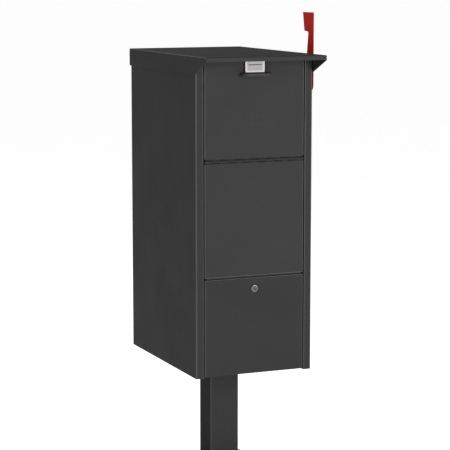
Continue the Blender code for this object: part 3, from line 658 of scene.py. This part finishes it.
def wire(name, points, radius, cyclic=False, radii=None, squash=None, resolution=4):
    """A bead or raised line along points."""
    cu = bpy.data.curves.new(name, "CURVE")
    cu.dimensions = "3D"
    cu.bevel_depth = radius
    cu.bevel_resolution = resolution
    cu.use_fill_caps = not cyclic
    sp = cu.splines.new("POLY")
    sp.points.add(len(points) - 1)
    for i, p in enumerate(points):
        sp.points[i].co = (*p, 1)
        if radii:
            sp.points[i].radius = radii[i]
    sp.use_cyclic_u = cyclic
    tmp = bpy.data.objects.new(name + "_path", cu)
    scene.collection.objects.link(tmp)
    bpy.context.view_layer.update()
    me = bpy.data.meshes.new_from_object(tmp.evaluated_get(bpy.context.evaluated_depsgraph_get()))
    bpy.data.objects.remove(tmp, do_unlink=True)
    bpy.data.curves.remove(cu)
    bm = bmesh.new()
    bm.from_mesh(me)
    bmesh.ops.remove_doubles(bm, verts=bm.verts, dist=1e-6)
    bmesh.ops.recalc_face_normals(bm, faces=bm.faces)
    if squash:
        at, factor = squash
        for v in bm.verts:
            v.co.y = at + (v.co.y - at) * factor
    bm.to_mesh(me)
    bm.free()
    return link(name, me)


def merge(name, objects):
    """Several closed shells gathered in one piece."""
    bm = bmesh.new()
    for o in objects:
        me = o.data.copy()
        me.transform(o.matrix_world)
        bm.from_mesh(me)
        bpy.data.meshes.remove(me)
        bpy.data.objects.remove(o, do_unlink=True)
    me = bpy.data.meshes.new(name)
    bm.to_mesh(me)
    bm.free()
    return link(name, me)


# ------------------------------------------------------------------ camera first
cam_data = bpy.data.cameras.new("camera")
cam = bpy.data.objects.new("camera", cam_data)
scene.collection.objects.link(cam)
scene.camera = cam
yaw, pitch = 0.39932, 0.14333
cam_data.sensor_width = 36.0
cam_data.lens = 1786.6 / 450 * 36
cam_data.clip_start, cam_data.clip_end = 0.1, 1000
forward = Vector((math.sin(yaw) * math.cos(pitch), math.cos(yaw) * math.cos(pitch), -math.sin(pitch)))
right = Vector((math.cos(yaw), -math.sin(yaw), 0))
upv = right.cross(forward)
rot = Matrix((right, upv, -forward)).transposed()
cam.matrix_world = Matrix.Translation((-2.30331, -5.51143, 1.69443)) @ rot.to_4x4()

# ------------------------------------------------------------------ post and foot
lo, hi = BOX["base_plate"]
r_base = 0.012
ob = flat("base_plate_look", [rect(lo.x, lo.y, hi.x, hi.y, r_base, 8)]
          + [circle(sx * 0.1016, sy * 0.1016, 0.0070, 40) for sx in (-1, 1) for sy in (-1, 1)],
          hi.z - lo.z, (0, 0, (lo.z + hi.z) / 2), "XY", bevel=0.0009)
dress(bake(ob), COAT_REAR, "cabinet", "base_plate", slot="charcoal_powder_coat", bends=BENDS)

lo, hi = BOX["post_tube"]
ob = sheet("post_tube_look", lo, hi, ("-Z", "+Z"), thickness=0.0032, bend=0.005, segments=8)
dress(bake(ob), COAT_REAR, "cabinet", "post_tube", slot="charcoal_powder_coat", bends=POST_BENDS, face=COAT_FRONT_PAINTED_LIGHT, left_shade=COAT_POST_PAINTED_SHADE)


def bead_path(half, z, r=0.006, step=0.0016):
    """Closely spaced points round the post, for a welded bead with ripples."""
    base = rect(-half, -half, half, half, r, 8)
    pts = []
    for a, b in zip(base, base[1:] + base[:1]):
        a, b = Vector(a), Vector(b)
        n = max(1, int((b - a).length / step))
        pts += [(*(a + (b - a) * i / n), z) for i in range(n)]
    return pts


for nm, z, rad in (("post_foot_weld", BOX["base_plate"][1].z + 0.0016, 0.0036),
                   ("post_top_weld", BOX["post_top_plate"][0].z - 0.0014, 0.0030)):
    pts = bead_path(0.0508 + rad * 0.25, z)
    rr = [1.0 + 0.13 * math.sin(i * 1.9) + 0.06 * math.sin(i * 0.37 + 1.3) for i in range(len(pts))]
    ob = wire(nm, pts, rad, cyclic=True, radii=rr, resolution=5)
    dress(bake(ob, 60, False), COAT_WELD, "cabinet", slot="charcoal_powder_coat")

lo, hi = BOX["post_top_plate"]
ob = flat("post_top_plate_look", [rect(lo.x, lo.y, hi.x, hi.y, 0.01, 8)]
          + [circle(sx * 0.076, sy * 0.076, 0.0045, 32) for sx in (-1, 1) for sy in (-1, 1)],
          hi.z - lo.z, (0, 0, (lo.z + hi.z) / 2), "XY", bevel=0.0007)
dress(bake(ob), COAT_POST_PAINTED_SHADE, "cabinet", "post_top_plate", slot="charcoal_powder_coat")

# ------------------------------------------------------------------ cabinet shell
lo, hi = BOX["floor_pan"]
ob = sheet("floor_pan_look", lo, hi, ("+Z", "-Y"), bend=0.003)
for sx in (-1, 1):
    for sy in (-1, 1):
        drill(ob, 0.0045, 0.02, (sx * 0.076, sy * 0.076, lo.z), UP, 32)
dress(bake(ob), COAT_IN, "cabinet", "floor_pan", slot="charcoal_powder_coat")
drop_tools()

for s, node in ((-1, "left_side_panel"), (1, "right_side_panel")):
    lo, hi = BOX[node]
    outer, inner = s * HW, s * (HW - FLANGE)
    ob = sheet(node + "_look", lo, hi, ("+X" if s < 0 else "-X", "-Z", "+Z"), edge=0,
               folds=[((inner, YF, ZB), (inner, YF, SIDE_TOP), (0, 0.016, 0))])
    xs = sorted((s * (HW - 0.0005), s * (HW - 0.022)))
    top = block(node + "_top", (xs[0], YF + 0.030, SIDE_TOP - T - 0.0001), (xs[1], YR - 0.034, SIDE_TOP - 0.0002), tools)
    boolean(ob, top, "UNION")
    if s > 0:
        drill(ob, 0.0034, 0.02, (HW, FLAG_AXIS.y, FLAG_AXIS.z), RIGHT, 32)
    soften(ob, 0.0003, 2, 60)
    dress(bake(ob), COAT_REAR, "cabinet", node, slot="charcoal_powder_coat", bends=BENDS, face=COAT_FRONT_PAINTED_LIGHT, left_shade=COAT_LEFT_PAINTED_SHADE)
    if s > 0:
        paint_seam_shade(ob)
    drop_tools()

lo, hi = BOX["rear_panel"]
ob = sheet("rear_panel_look", lo, hi, ("-Y", "-X", "+X", "-Z"))
dress(bake(ob), COAT_REAR, "cabinet", "rear_panel", slot="charcoal_powder_coat", bends=BENDS)

lo, hi = BOX["middle_panel"]
ob = sheet("middle_panel_look", lo, (hi.x, YF + 0.018, hi.z), ("+Y", "+Z"),
           folds=[((-0.01, YF + 0.018, lo.z), (0.01, YF + 0.018, lo.z), (0, hi.y - YF - 0.018, 0))])
dress(bake(ob), COAT_DOOR, "cabinet", "middle_panel", slot="charcoal_powder_coat", bends=BENDS)
# Painted highlight: the lighter tone on the middle panel's downward-facing bends.
edge_tone(ob, UNDER_BENDS_PAINTED_HIGHLIGHT, -0.95, -0.15)
paint_seam_shade(ob)

lo, hi = BOX["hood"]
skirt, lip = hi.z - lo.z, 0.015
ob = sheet("hood_look", lo, hi, ("-Z",), slits=[((0, YF, 0), (0, 1, 0))],
           shift=[((lo.x, lo.y, lo.z), (hi.x, lo.y, lo.z), (0, 0, skirt - lip))])
dress(bake(ob), COAT_HOOD_PAINTED_LIGHT_AND_DUST, "cabinet", "hood", slot="charcoal_powder_coat", bends=HOOD_BENDS_PAINTED_SHADE, left_shade=COAT_LEFT_PAINTED_SHADE)

for node in ("upper_cross_rail", "lower_cross_rail", "header_rail", "rear_baffle"):
    lo, hi = BOX[node]
    ob = sheet(node + "_look", lo, hi, ("-X", "+X", "+Y"), bend=0.003)
    dress(bake(ob), COAT_IN, "cabinet", node, slot="charcoal_powder_coat")

for node in ("door_bumper_left", "door_bumper_right"):
    lo, hi = BOX[node]
    c = (lo + hi) / 2
    ln = hi.y - lo.y
    ob = turned(node + "_look", [(0, ln), (0.0030, ln), (0.0040, ln - 0.0003), (0.0052, ln - 0.0010), (0.0060, ln - 0.0024),
                                 (0.0064, ln * 0.5), (0.0068, 0.0016), (0.0070, 0.0008), (0.0068, 0.0002), (0.0064, 0), (0, 0)],
                (c.x, hi.y, c.z), FRONT, 48)
    dress(bake(ob, 40), RUBBER, "cabinet", node, slot="black_rubber")

# ------------------------------------------------------------------ hex hardware
def hexagon(name, centre, radius, height, axis, hole=0.0, phase=0.0):
    """A hexagon with its corners turned down to a cone, and a bore if it's a nut."""
    ob = rod(name, radius, height, centre, axis, 6, phase)
    cone = turned(name + "_cone", [(0, height / 2), (radius * 0.84, height / 2), (radius * 1.06, height / 2 - radius * 0.11),
                                   (radius * 1.06, -height / 2 + radius * 0.11), (radius * 0.84, -height / 2), (0, -height / 2)],
                  centre, axis, 48, coll=tools)
    boolean(ob, cone, "INTERSECT")
    if hole:
        drill(ob, hole, height * 3, centre, axis, 32)
    return ob


def threads(name, r, z0, z1, centre, axis, pitch=0.00125, depth=0.0004):
    """A rod whose lower part carries ring grooves that read as a thread."""
    prof = [(0, z1), (r, z1)]
    z = z1 - 0.004
    prof.append((r, z))
    while z - pitch > z0 + 0.0006:
        prof += [(r - depth, z - pitch / 2), (r, z - pitch)]
        z -= pitch
    prof += [(r - depth, z0), (0, z0)]
    return turned(name, prof, centre, axis, 32)


for i in range(1, 5):
    lo, hi = BOX[f"mount_bolt_{i}"]
    c = (lo + hi) / 2
    head = hexagon(f"mount_bolt_head_{i}", (c.x, c.y, hi.z - 0.00265), 0.0075, 0.0053, UP)
    bake(head, 30)
    shank = threads(f"mount_bolt_shank_{i}", 0.0079 / 2, lo.z, hi.z - 0.0040, (c.x, c.y, 0), UP)
    bake(shank, 30)
    ob = merge(f"mount_bolt_look_{i}", [head, shank])
    dress(bake(ob, 30), ZINC, "cabinet", f"mount_bolt_{i}", slot="zinc_plated_steel")
    drop_tools()
    lo, hi = BOX[f"mount_nut_{i}"]
    c = (lo + hi) / 2
    ob = hexagon(f"mount_nut_look_{i}", c, 0.0075, hi.z - lo.z, UP, 0.0043)
    dress(bake(ob, 30), ZINC, "cabinet", f"mount_nut_{i}", slot="zinc_plated_steel")
    drop_tools()


# ------------------------------------------------------------------ piano hinges
LEAF, LEAF_HALF = 0.0012, 0.1693


def hinge_leaf(name, node, axis, radius, pin_r, half, count, odd, plane, far, tang):
    pitch = 2 * half / count
    spans = [(-half + i * pitch + GAP / 2, -half + (i + 1) * pitch - GAP / 2) for i in range(count)]
    s = 1 if far > 0 else -1
    near = s * (radius + 0.0008)
    reach = s * 0.0002 if abs(tang) < radius - LEAF else s * 0.0004
    edge = min(half - 0.0006, LEAF_HALF)
    pts = [(-edge, far)]
    if odd:
        pts.append((-edge, near))
    for i, (a, b) in enumerate(spans):
        if i % 2 == odd:
            a, b = max(a + 0.0004, -edge), min(b - 0.0004, edge)
            if a > -edge:
                pts.append((a, near))
            pts += [(a, reach), (b, reach)]
            if b < edge:
                pts.append((b, near))
    if odd:
        pts.append((edge, near))
    pts.append((edge, far))
    bm = bmesh.new()
    face = bm.faces.new([bm.verts.new((u, v, -LEAF / 2)) for u, v in pts])
    up = bmesh.ops.extrude_face_region(bm, geom=[face])["geom"]
    bmesh.ops.translate(bm, vec=(0, 0, LEAF), verts=[g for g in up if isinstance(g, bmesh.types.BMVert)])
    bmesh.ops.recalc_face_normals(bm, faces=bm.faces)
    me = bpy.data.meshes.new(name)
    bm.to_mesh(me)
    bm.free()
    centre = (axis.x, axis.y + tang, axis.z) if plane == "XZ" else (axis.x, axis.y, axis.z + tang)
    leaf = link(name, me, None, Matrix.Translation(Vector(centre)) @ PLANES[plane])
    for i, (a, b) in enumerate(spans):
        if i % 2 == odd:
            k = rod(f"{name}_k{i}", radius, b - a, (axis.x + (a + b) / 2, axis.y, axis.z), RIGHT, 36,
                    math.pi / 36, tools, chamfer=0.0004)
            boolean(leaf, k, "UNION")
    boolean(leaf, rod(name + "_bore", pin_r + 0.0002, 2 * half + 0.02, axis, RIGHT, 24, coll=tools))
    return bake(leaf, 40)


ob = hinge_leaf("intake_hinge_frame_leaf_look", "", INTAKE_AXIS, 0.00475, 0.0021, 0.1735, 13, 0, "XZ", -0.028, -0.0012)
dress(ob, COAT_HINGE_PAINTED_SHADE, "cabinet", "intake_hinge_frame_leaf", slot="charcoal_powder_coat")
ob = hinge_leaf("intake_hinge_door_leaf_look", "", INTAKE_AXIS, 0.00475, 0.0021, 0.1735, 13, 1, "XZ", 0.028, -0.0012)
dress(ob, COAT_HINGE_PAINTED_SHADE, "intake_door", "intake_hinge_door_leaf", slot="charcoal_powder_coat")
ob = hinge_leaf("lower_hinge_frame_leaf_look", "", LOWER_AXIS, 0.0040, 0.0016, 0.1680, 9, 0, "XY", 0.042, -0.0040 + LEAF / 2)
dress(ob, ZINC, "cabinet", "lower_hinge_frame_leaf", slot="zinc_plated_steel")
ob = hinge_leaf("lower_hinge_door_leaf_look", "", LOWER_AXIS, 0.0040, 0.0016, 0.1680, 9, 1, "XZ", 0.028, -0.0040 + LEAF / 2)
dress(ob, ZINC, "lower_door", "lower_hinge_door_leaf", slot="zinc_plated_steel")
for node, axis, r, half in (("intake_hinge_pin", INTAKE_AXIS, 0.0021, 0.1735), ("lower_hinge_pin", LOWER_AXIS, 0.0016, 0.1680)):
    ob = rod(node + "_look", r, 2 * half - 0.001, axis, RIGHT, 32, chamfer=0.0004)
    dress(bake(ob, 40), STEEL, "cabinet", node, slot="bare_steel")
drop_tools()

# ------------------------------------------------------------------ intake door
lo, hi = BOX["intake_door"]
ob = sheet("intake_door_look", lo, hi, ("+Y", "-Z"), edge=0)
hb = BOX["pull_handle"]
hz = (hb[0].z + hb[1].z) / 2
leg = 0.013
leg_x = hb[1].x - leg / 2
for s in (-1, 1):
    drill(ob, 0.0029, 0.02, (s * leg_x, YF, hz), FRONT, 32)
soften(ob, 0.0003, 2, 60)
dress(bake(ob), COAT_DOOR, "intake_door", "intake_door", slot="charcoal_powder_coat", bends=BENDS)
paint_seam_shade(ob)
drop_tools()

# faint pressed relief on the door: a plain envelope beside two rows of ribs
relief = []
ex, ez, ew, eh = -0.064, ZB + 0.8315, 0.0155, 0.0105
relief.append(wire("r0", [(ex - ew, YF, ez - eh), (ex + ew, YF, ez - eh), (ex + ew, YF, ez + eh), (ex - ew, YF, ez + eh)], 0.0012, True))
relief.append(wire("r1", [(ex - ew, YF, ez + eh), (ex, YF, ez - 0.002), (ex + ew, YF, ez + eh)], 0.0012))
for row, n in ((0.0140, 8), (-0.0140, 8)):
    for i in range(n):
        x = -0.012 + 0.0098 * i
        relief.append(wire(f"r{row}{i}", [(x, YF, ez + row - 0.0085), (x, YF, ez + row + 0.0085)], 0.0014))
ob = merge("door_relief", relief)
for v in ob.data.vertices:
    v.co.y = YF + 0.0002 + (v.co.y - YF) * 0.5
dress(bake(ob, 60, False), RELIEF, "intake_door", slot="charcoal_powder_coat")

# hopper
lo, hi = BOX["hopper_tray"]
slope = math.radians(-20)
ca, sa = math.cos(slope), math.sin(slope)
ty0, tz0 = INTAKE_AXIS.y - 0.0003, axis_z + 0.0105
run = 0.300 - 0.0105 * math.sin(math.radians(20)) - 0.006
ob = sheet("hopper_tray_look", (lo.x, ty0, tz0), (hi.x, ty0 + run, tz0 + 0.022), ("-X", "+X", "+Y", "+Z"),
           thickness=0.0015, bend=0.003, segments=6,
           shift=[((-0.2, ty0 + run, tz0), (0.2, ty0 + run, tz0), (0, run * (ca - 1), run * sa))])
dress(bake(ob), COAT_IN, "intake_door", "hopper_tray", slot="charcoal_powder_coat")

for s, node in ((-1, "hopper_side_left"), (1, "hopper_side_right")):
    th_top, th_bot = math.radians(88.6), slope + math.radians(0.9)
    y_front, z_front, WING_R, WING_X = 0.0016, 0.0165, 0.290, 0.165
    pts = [(y_front, z_front)]
    n = 40
    for i in range(n + 1):
        th = th_bot + (th_top - th_bot) * i / n
        pts.append((WING_R * math.cos(th), WING_R * math.sin(th)))
    pts[1] = (WING_R * ca, z_front + WING_R * sa)
    pts.append((y_front, WING_R * math.sin(th_top)))
    ob = flat(node + "_look", [pts], 0.0015, (s * (WING_X - 0.00075), INTAKE_AXIS.y, axis_z), "YZ")
    inner = s * (WING_X - 0.0015)
    x0, x1 = sorted((inner + s * 0.0005, inner - s * 0.014))
    foot = block(node + "_foot", (x0, INTAKE_AXIS.y + y_front, axis_z + 0.034),
                 (x1, INTAKE_AXIS.y + y_front + 0.0015, axis_z + 0.270), tools)
    boolean(ob, foot, "UNION")
    soften(ob, 0.0003, 2, 60)
    dress(bake(ob), COAT_IN, "intake_door", node, slot="charcoal_powder_coat")
    drop_tools()

# pull handle: a cast bow with rounded edges
lo, hi = BOX["pull_handle"]
half, out, grip = hi.x, lo.y, 0.0085
pts = rounded([(-half, hi.y, 0), (-half, out, 0.016), (half, out, 0.016), (half, hi.y, 0),
               (half - leg, hi.y, 0), (half - leg, out + grip, 0.008),
               (-half + leg, out + grip, 0.008), (-half + leg, hi.y, 0)], 12)
ob = flat("pull_handle_look", [pts], hi.z - lo.z, (0, 0, hz), "XY", bevel=0.0030, segments=5)
dress(bake(ob, 60), COAT_HANDLE, "intake_door", "pull_handle", slot="black_painted_zinc")

for s, node in ((-1, "handle_screw_left"), (1, "handle_screw_right")):
    lo, hi = BOX[node]
    ob = turned(node + "_look", [(0, 0.0147), (0.0018, 0.0147), (0.0022, 0.0143), (0.0022, 0.0031), (0.0048, 0.0031),
                                 (0.0048, 0.0014), (0.0044, 0.0007), (0.0036, 0.0002), (0.0026, 0.0), (0, 0.0)],
                (s * leg_x, hi.y, hz), FRONT, 48)
    for k in range(2):
        a = block(node + f"_slot{k}", (-0.0030, -0.00045, -0.001), (0.0030, 0.00045, 0.0014), tools)
        a.matrix_world = Matrix.Translation((s * leg_x, hi.y, hz)) @ FRONT @ Matrix.Rotation(math.radians(90 * k + 20), 4, "Z")
        boolean(ob, a)
    dress(bake(ob, 30), ZINC, "intake_door", node, slot="zinc_plated_steel")
    drop_tools()

# label and its frame
lo, hi = BOX["label_frame"]
plo, phi = BOX["name_plate"]
c = (plo + phi) / 2
ob = flat("label_frame_look", [rect(lo.x, lo.z, hi.x, hi.z, 0.005, 8),
                               rect(plo.x - GAP, plo.z - GAP, phi.x + GAP, phi.z + GAP, 0.0015, 4)],
          hi.y - lo.y, (0, (lo.y + hi.y) / 2, 0), "XZ", bevel=0.0006)
dress(bake(ob, 45), PLASTIC, "intake_door", "label_frame", slot="black_plastic")
ob = flat("name_plate_look", [rect(plo.x, plo.z, phi.x, phi.z, 0.0012, 6)], phi.y - plo.y,
          (0, c.y, 0), "XZ", bevel=0.0003, segments=3)
tool = flat("label_recess", [rect(plo.x + 0.0044, plo.z + 0.0044, phi.x - 0.0044, phi.z - 0.0044, 0.0010, 6)],
            0.0008, (0, plo.y, 0), "XZ", coll=tools)
boolean(ob, tool)
bake(ob, 40)
dress(ob, label_material("label_plate", c, phi.x - plo.x, phi.z - plo.z), "intake_door", "name_plate", slot="label_plate")
drop_tools()

# ------------------------------------------------------------------ lower door and lock
lo, hi = BOX["lower_door"]
lz = LOCK_AXIS.z
ob = sheet("lower_door_look", lo, hi, ("+Y", "-Z"), edge=0)
drill(ob, 0.0098, 0.02, (0, YF, lz), FRONT, 48)
soften(ob, 0.0003, 2, 60)
dress(bake(ob), COAT_LOW_PAINTED_SHADE, "lower_door", "lower_door", slot="charcoal_powder_coat", bends=BENDS)
# Painted shade: the dark tone on the lower door's upward-facing bends.
edge_tone(ob, TOP_BENDS_PAINTED_SHADE, 0.15, 0.996)
paint_seam_shade(ob)
drop_tools()

ob = turned("lock_body_look",
            [(0.0084, 0.0035), (0.0098, 0.0034), (0.0110, 0.0030), (0.0119, 0.0024), (0.0124, 0.0016), (0.0125, 0.0010),
             (0.0125, GAP + 0.0002), (0.0123, GAP), (0.0095, GAP)]
            + [p for k in range(14) for p in ((0.0095, -0.0030 - k * 0.0013), (0.0091, -0.00365 - k * 0.0013))]
            + [(0.0095, -0.0222), (0.0092, -0.0225), (0.0066, -0.0225), (0.0064, -0.0223), (0.0064, 0.0018),
               (0.0066, 0.0024), (0.0072, 0.0031), (0.0078, 0.0034)],
            (0, YF, lz), FRONT, 96, closed=True)
dress(bake(ob, 32), NICKEL, "lower_door", "lock_body", slot="nickel_plated_brass")
lo, hi = BOX["lock_nut"]
ob = hexagon("lock_nut_look", (0, (lo.y + hi.y) / 2, lz), 0.0145, hi.y - lo.y, FRONT, 0.0098)
dress(bake(ob, 30), ZINC, "lower_door", "lock_nut", slot="zinc_plated_steel")
drop_tools()

ob = turned("lock_plug_look",
            [(0, 0.0020), (0.0030, 0.0020), (0.0034, 0.0018), (0.0038, 0.0020), (0.0055, 0.0020), (0.0059, 0.0017), (0.0061, 0.0012),
             (0.0061, -0.0225), (0.0058, -0.0228), (0, -0.0228)], (0, YF, lz), FRONT, 64)
key = block("keyway", (-0.00085, YF - 0.010, lz - 0.0042), (0.00085, YF + 0.002, lz + 0.0042), tools, bevel=0.0004)
boolean(ob, key)
key2 = block("keyway2", (-0.0002, YF - 0.010, lz - 0.0016), (0.0016, YF + 0.002, lz - 0.0004), tools)
boolean(ob, key2)
drill(ob, 0.0023, 0.020, (0, YF + 0.0228, lz), FRONT, 24)
dress(bake(ob, 32), NICKEL_PLUG, "lock", "lock_plug", slot="nickel_plated_brass")
drop_tools()

lo, hi = BOX["lock_cam"]
ob = flat("lock_cam_look",
          [rounded([(-0.0085, lz - 0.0085, 0.008), (0.048, lz - 0.0080, 0.004),
                    (0.048, lz + 0.0080, 0.004), (-0.0085, lz + 0.0085, 0.008)], 10),
           circle(0, lz, 0.0023, 32)], hi.y - lo.y, (0, (lo.y + hi.y) / 2, 0), "XZ", bevel=0.0004)
dress(bake(ob, 40), STEEL, "lock", "lock_cam", slot="bare_steel")
lo, hi = BOX["lock_cam_screw"]
ob = turned("lock_cam_screw_look",
            [(0, 0.0115), (0.0017, 0.0115), (0.0020, 0.0112), (0.0020, 0.0030), (0.0046, 0.0030), (0.0046, 0.0012),
             (0.0042, 0.0006), (0.0034, 0.0001), (0.0028, 0), (0, 0)], (0, hi.y, lz), FRONT, 48)
for k in range(2):
    a = block(f"cam_slot{k}", (-0.0030, -0.00045, -0.001), (0.0030, 0.00045, 0.0013), tools)
    a.matrix_world = Matrix.Translation((0, hi.y, lz)) @ FRONT @ Matrix.Rotation(math.radians(90 * k + 35), 4, "Z")
    boolean(ob, a)
dress(bake(ob, 30), ZINC, "lock", "lock_cam_screw", slot="zinc_plated_steel")
drop_tools()

# a lipped grey strip under the middle panel, in the seam above the lower door; its tone sets how dark the seam reads:
# painted shade
z0, z1 = BOX["lower_door"][1].z + 0.0004, BOX["middle_panel"][0].z - 0.0001
prof = rounded([(YF + 0.0062, z0 + 0.0006, 0.0002), (YF + 0.0062, z1, 0.0002), (YF + 0.0015, z1, 0.0008), (YF + 0.0013, z0 + 0.0003, 0.0008),
                (YF + 0.0040, z0, 0.0004), (YF + 0.0046, z0 + 0.0006, 0.0002)], 4)
ob = flat("seam_strip_painted_shade_look", [prof], 0.336, (0, 0, 0), "YZ")
dress(bake(ob, 40), SEAM_STRIP_PAINTED_SHADE, "cabinet", slot="charcoal_powder_coat")

# ------------------------------------------------------------------ signal flag
lo, hi = BOX["flag"]
fy, fz = FLAG_AXIS.y, FLAG_AXIS.z
corners = [(YF + 0.0200, ZB + 0.9120, 0.0240), (YF + 0.0200, ZB + 1.1690, 0.0015),
           (YF + 0.1000, ZB + 1.1690, 0.0015), (YF + 0.0880, ZB + 1.1080, 0.0020),
           (YF + 0.0580, ZB + 1.1060, 0.0050), (YF + 0.0690, ZB + 1.0290, 0.1000),
           (YF + 0.0740, ZB + 0.9120, 0.0240)]


def inward(pts, d):
    """The corner polygon moved in by d, each corner radius less d."""
    area = sum(a[0] * b[1] - b[0] * a[1] for a, b in zip(pts, pts[1:] + pts[:1]))
    sg = 1 if area > 0 else -1
    out = []
    for i in range(len(pts)):
        p0, p1, p2 = (Vector(pts[j % len(pts)][:2]) for j in (i - 1, i, i + 1))
        d1, d2 = (p1 - p0).normalized(), (p2 - p1).normalized()
        n1, n2 = Vector((-d1.y, d1.x)) * sg, Vector((-d2.y, d2.x)) * sg
        q = p1 + (n1 + n2) * (d / (1 + n1.dot(n2)))
        turn = (d1.x * d2.y - d1.y * d2.x) * sg
        r = pts[i][2]
        out.append((q.x, q.y, max(0.0010, r - d) if turn > 0 else r + d))
    return out


ob = flat("flag_look", [rounded(corners, 10)], hi.x - lo.x, ((lo.x + hi.x) / 2, 0, 0), "YZ", bevel=0.0005, segments=3)
for x in (lo.x, hi.x):
    tool = flat("flag_recess", [rounded(inward(corners, 0.0036), 10)], 0.0010, (x, 0, 0), "YZ", coll=tools)
    boolean(ob, tool)
bake(ob, 40, False)
drop_tools()
boss = rod("flag_boss", 0.0105, hi.x - lo.x, ((lo.x + hi.x) / 2, fy, fz), RIGHT, 64, coll=tools)
boolean(ob, boss, "UNION")
drill(ob, 0.0033, 0.02, ((lo.x + hi.x) / 2, fy, fz), RIGHT, 40)
bake(ob, 35)
dress(ob, RED, "flag", "flag", slot="red_enamel")
drop_tools()

lo, hi = BOX["flag_spacer"]
ob = turned("flag_spacer_look", [(0.0092, hi.x), (0.0095, hi.x - 0.0005), (0.0095, lo.x + 0.0005), (0.0092, lo.x), (0.0036, lo.x),
                                 (0.0033, lo.x + 0.0003), (0.0033, hi.x - 0.0003), (0.0036, hi.x)],
            (0, fy, fz), RIGHT, 64, closed=True)
dress(bake(ob, 40), PLASTIC, "cabinet", "flag_spacer", slot="black_plastic")
lo, hi = BOX["flag_washer"]
ob = turned("flag_washer_look", [(0.0088, hi.x), (0.0090, hi.x - 0.0003), (0.0090, lo.x + 0.0001), (0.0088, lo.x), (0.0035, lo.x),
                                 (0.0033, lo.x + 0.0002), (0.0033, hi.x - 0.0002), (0.0035, hi.x)],
            (0, fy, fz), RIGHT, 64, closed=True)
dress(bake(ob, 40), ZINC, "cabinet", "flag_washer", slot="zinc_plated_steel")
lo, hi = BOX["flag_bolt"]
dome = [(0.0062 * math.sin(math.radians(a)), hi.x - 0.0034 * (1 - math.cos(math.radians(a)))) for a in range(0, 91, 10)]
body = [(0.0062, hi.x - 0.0042), (0.0030, hi.x - 0.0042), (0.0030, hi.x - 0.016)]
z = hi.x - 0.016
while z - 0.001 > lo.x + 0.0006:
    body += [(0.0027, z - 0.0005), (0.0030, z - 0.001)]
    z -= 0.001
body += [(0.0026, lo.x), (0, lo.x)]
ob = turned("flag_bolt_look", dome + body, (0, fy, fz), RIGHT, 48)
socket = rod("socket", 0.0023, 0.004, (hi.x, fy, fz), RIGHT, 6, coll=tools)
boolean(ob, socket)
dress(bake(ob, 32), ZINC, "cabinet", "flag_bolt", slot="zinc_plated_steel")
drop_tools()
lo, hi = BOX["flag_nut"]
ob = hexagon("flag_nut_look", ((lo.x + hi.x) / 2, fy, fz), 0.0058, hi.x - lo.x, RIGHT, 0.0033)
dress(bake(ob, 30), ZINC, "cabinet", "flag_nut", slot="zinc_plated_steel")
drop_tools()

# ------------------------------------------------------------------ floor, world, lights
m, nt, s = new_material("studio_floor")
co = coords(nt)
nt.links.new(ramp(nt, noise(nt, co, 2.0, 3.0), [(0.3, (0.90, 0.90, 0.90)), (0.7, (0.92, 0.92, 0.92))]), s.inputs["Base Color"])
s.inputs["Roughness"].default_value = 0.9
s.inputs["Specular IOR Level"].default_value = 0.1
s.inputs["Emission Color"].default_value = (1.0, 1.0, 1.0, 1.0)
s.inputs["Emission Strength"].default_value = 0.69
bpy.ops.mesh.primitive_plane_add(size=400, location=(0, 0, 0))
floor = bpy.context.object
floor.name = "studio_floor"
floor.data.materials.append(m)
floor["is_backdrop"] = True

world = bpy.data.worlds.new("studio")
scene.world = world
world.use_nodes = True
bg = world.node_tree.nodes["Background"]
bg.inputs["Color"].default_value = (1.0, 1.0, 1.0, 1.0)
bg.inputs["Strength"].default_value = 0.32


def area(name, at, target, size, power, size_y=None):
    d = bpy.data.lights.new(name, "AREA")
    d.energy = power
    d.size = size
    if size_y:
        d.shape = "RECTANGLE"
        d.size_y = size_y
    o = bpy.data.objects.new(name, d)
    scene.collection.objects.link(o)
    o.location = at
    o.rotation_euler = (Vector(target) - Vector(at)).to_track_quat("-Z", "Y").to_euler()
    return o


area("key", (2.0, -4.6, 1.6), (0, 0, 0.9), 2.2, 120)
area("side", (-3.15, -1.30, 1.45), (0, 0, 0.9), 1.2, 30, 1.8)
area("back", (-0.8, 4.4, 3.8), (0, 0, 0.9), 2.0, 50)
area("right", (4.2, 0.9, 2.4), (0, 0, 0.9), 2.2, 55)

scene.view_settings.view_transform = "Standard"
scene.view_settings.look = "None"
scene.view_settings.exposure = 0.0
scene.view_settings.gamma = 1.0

# ------------------------------------------------------------------ size
lo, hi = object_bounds()
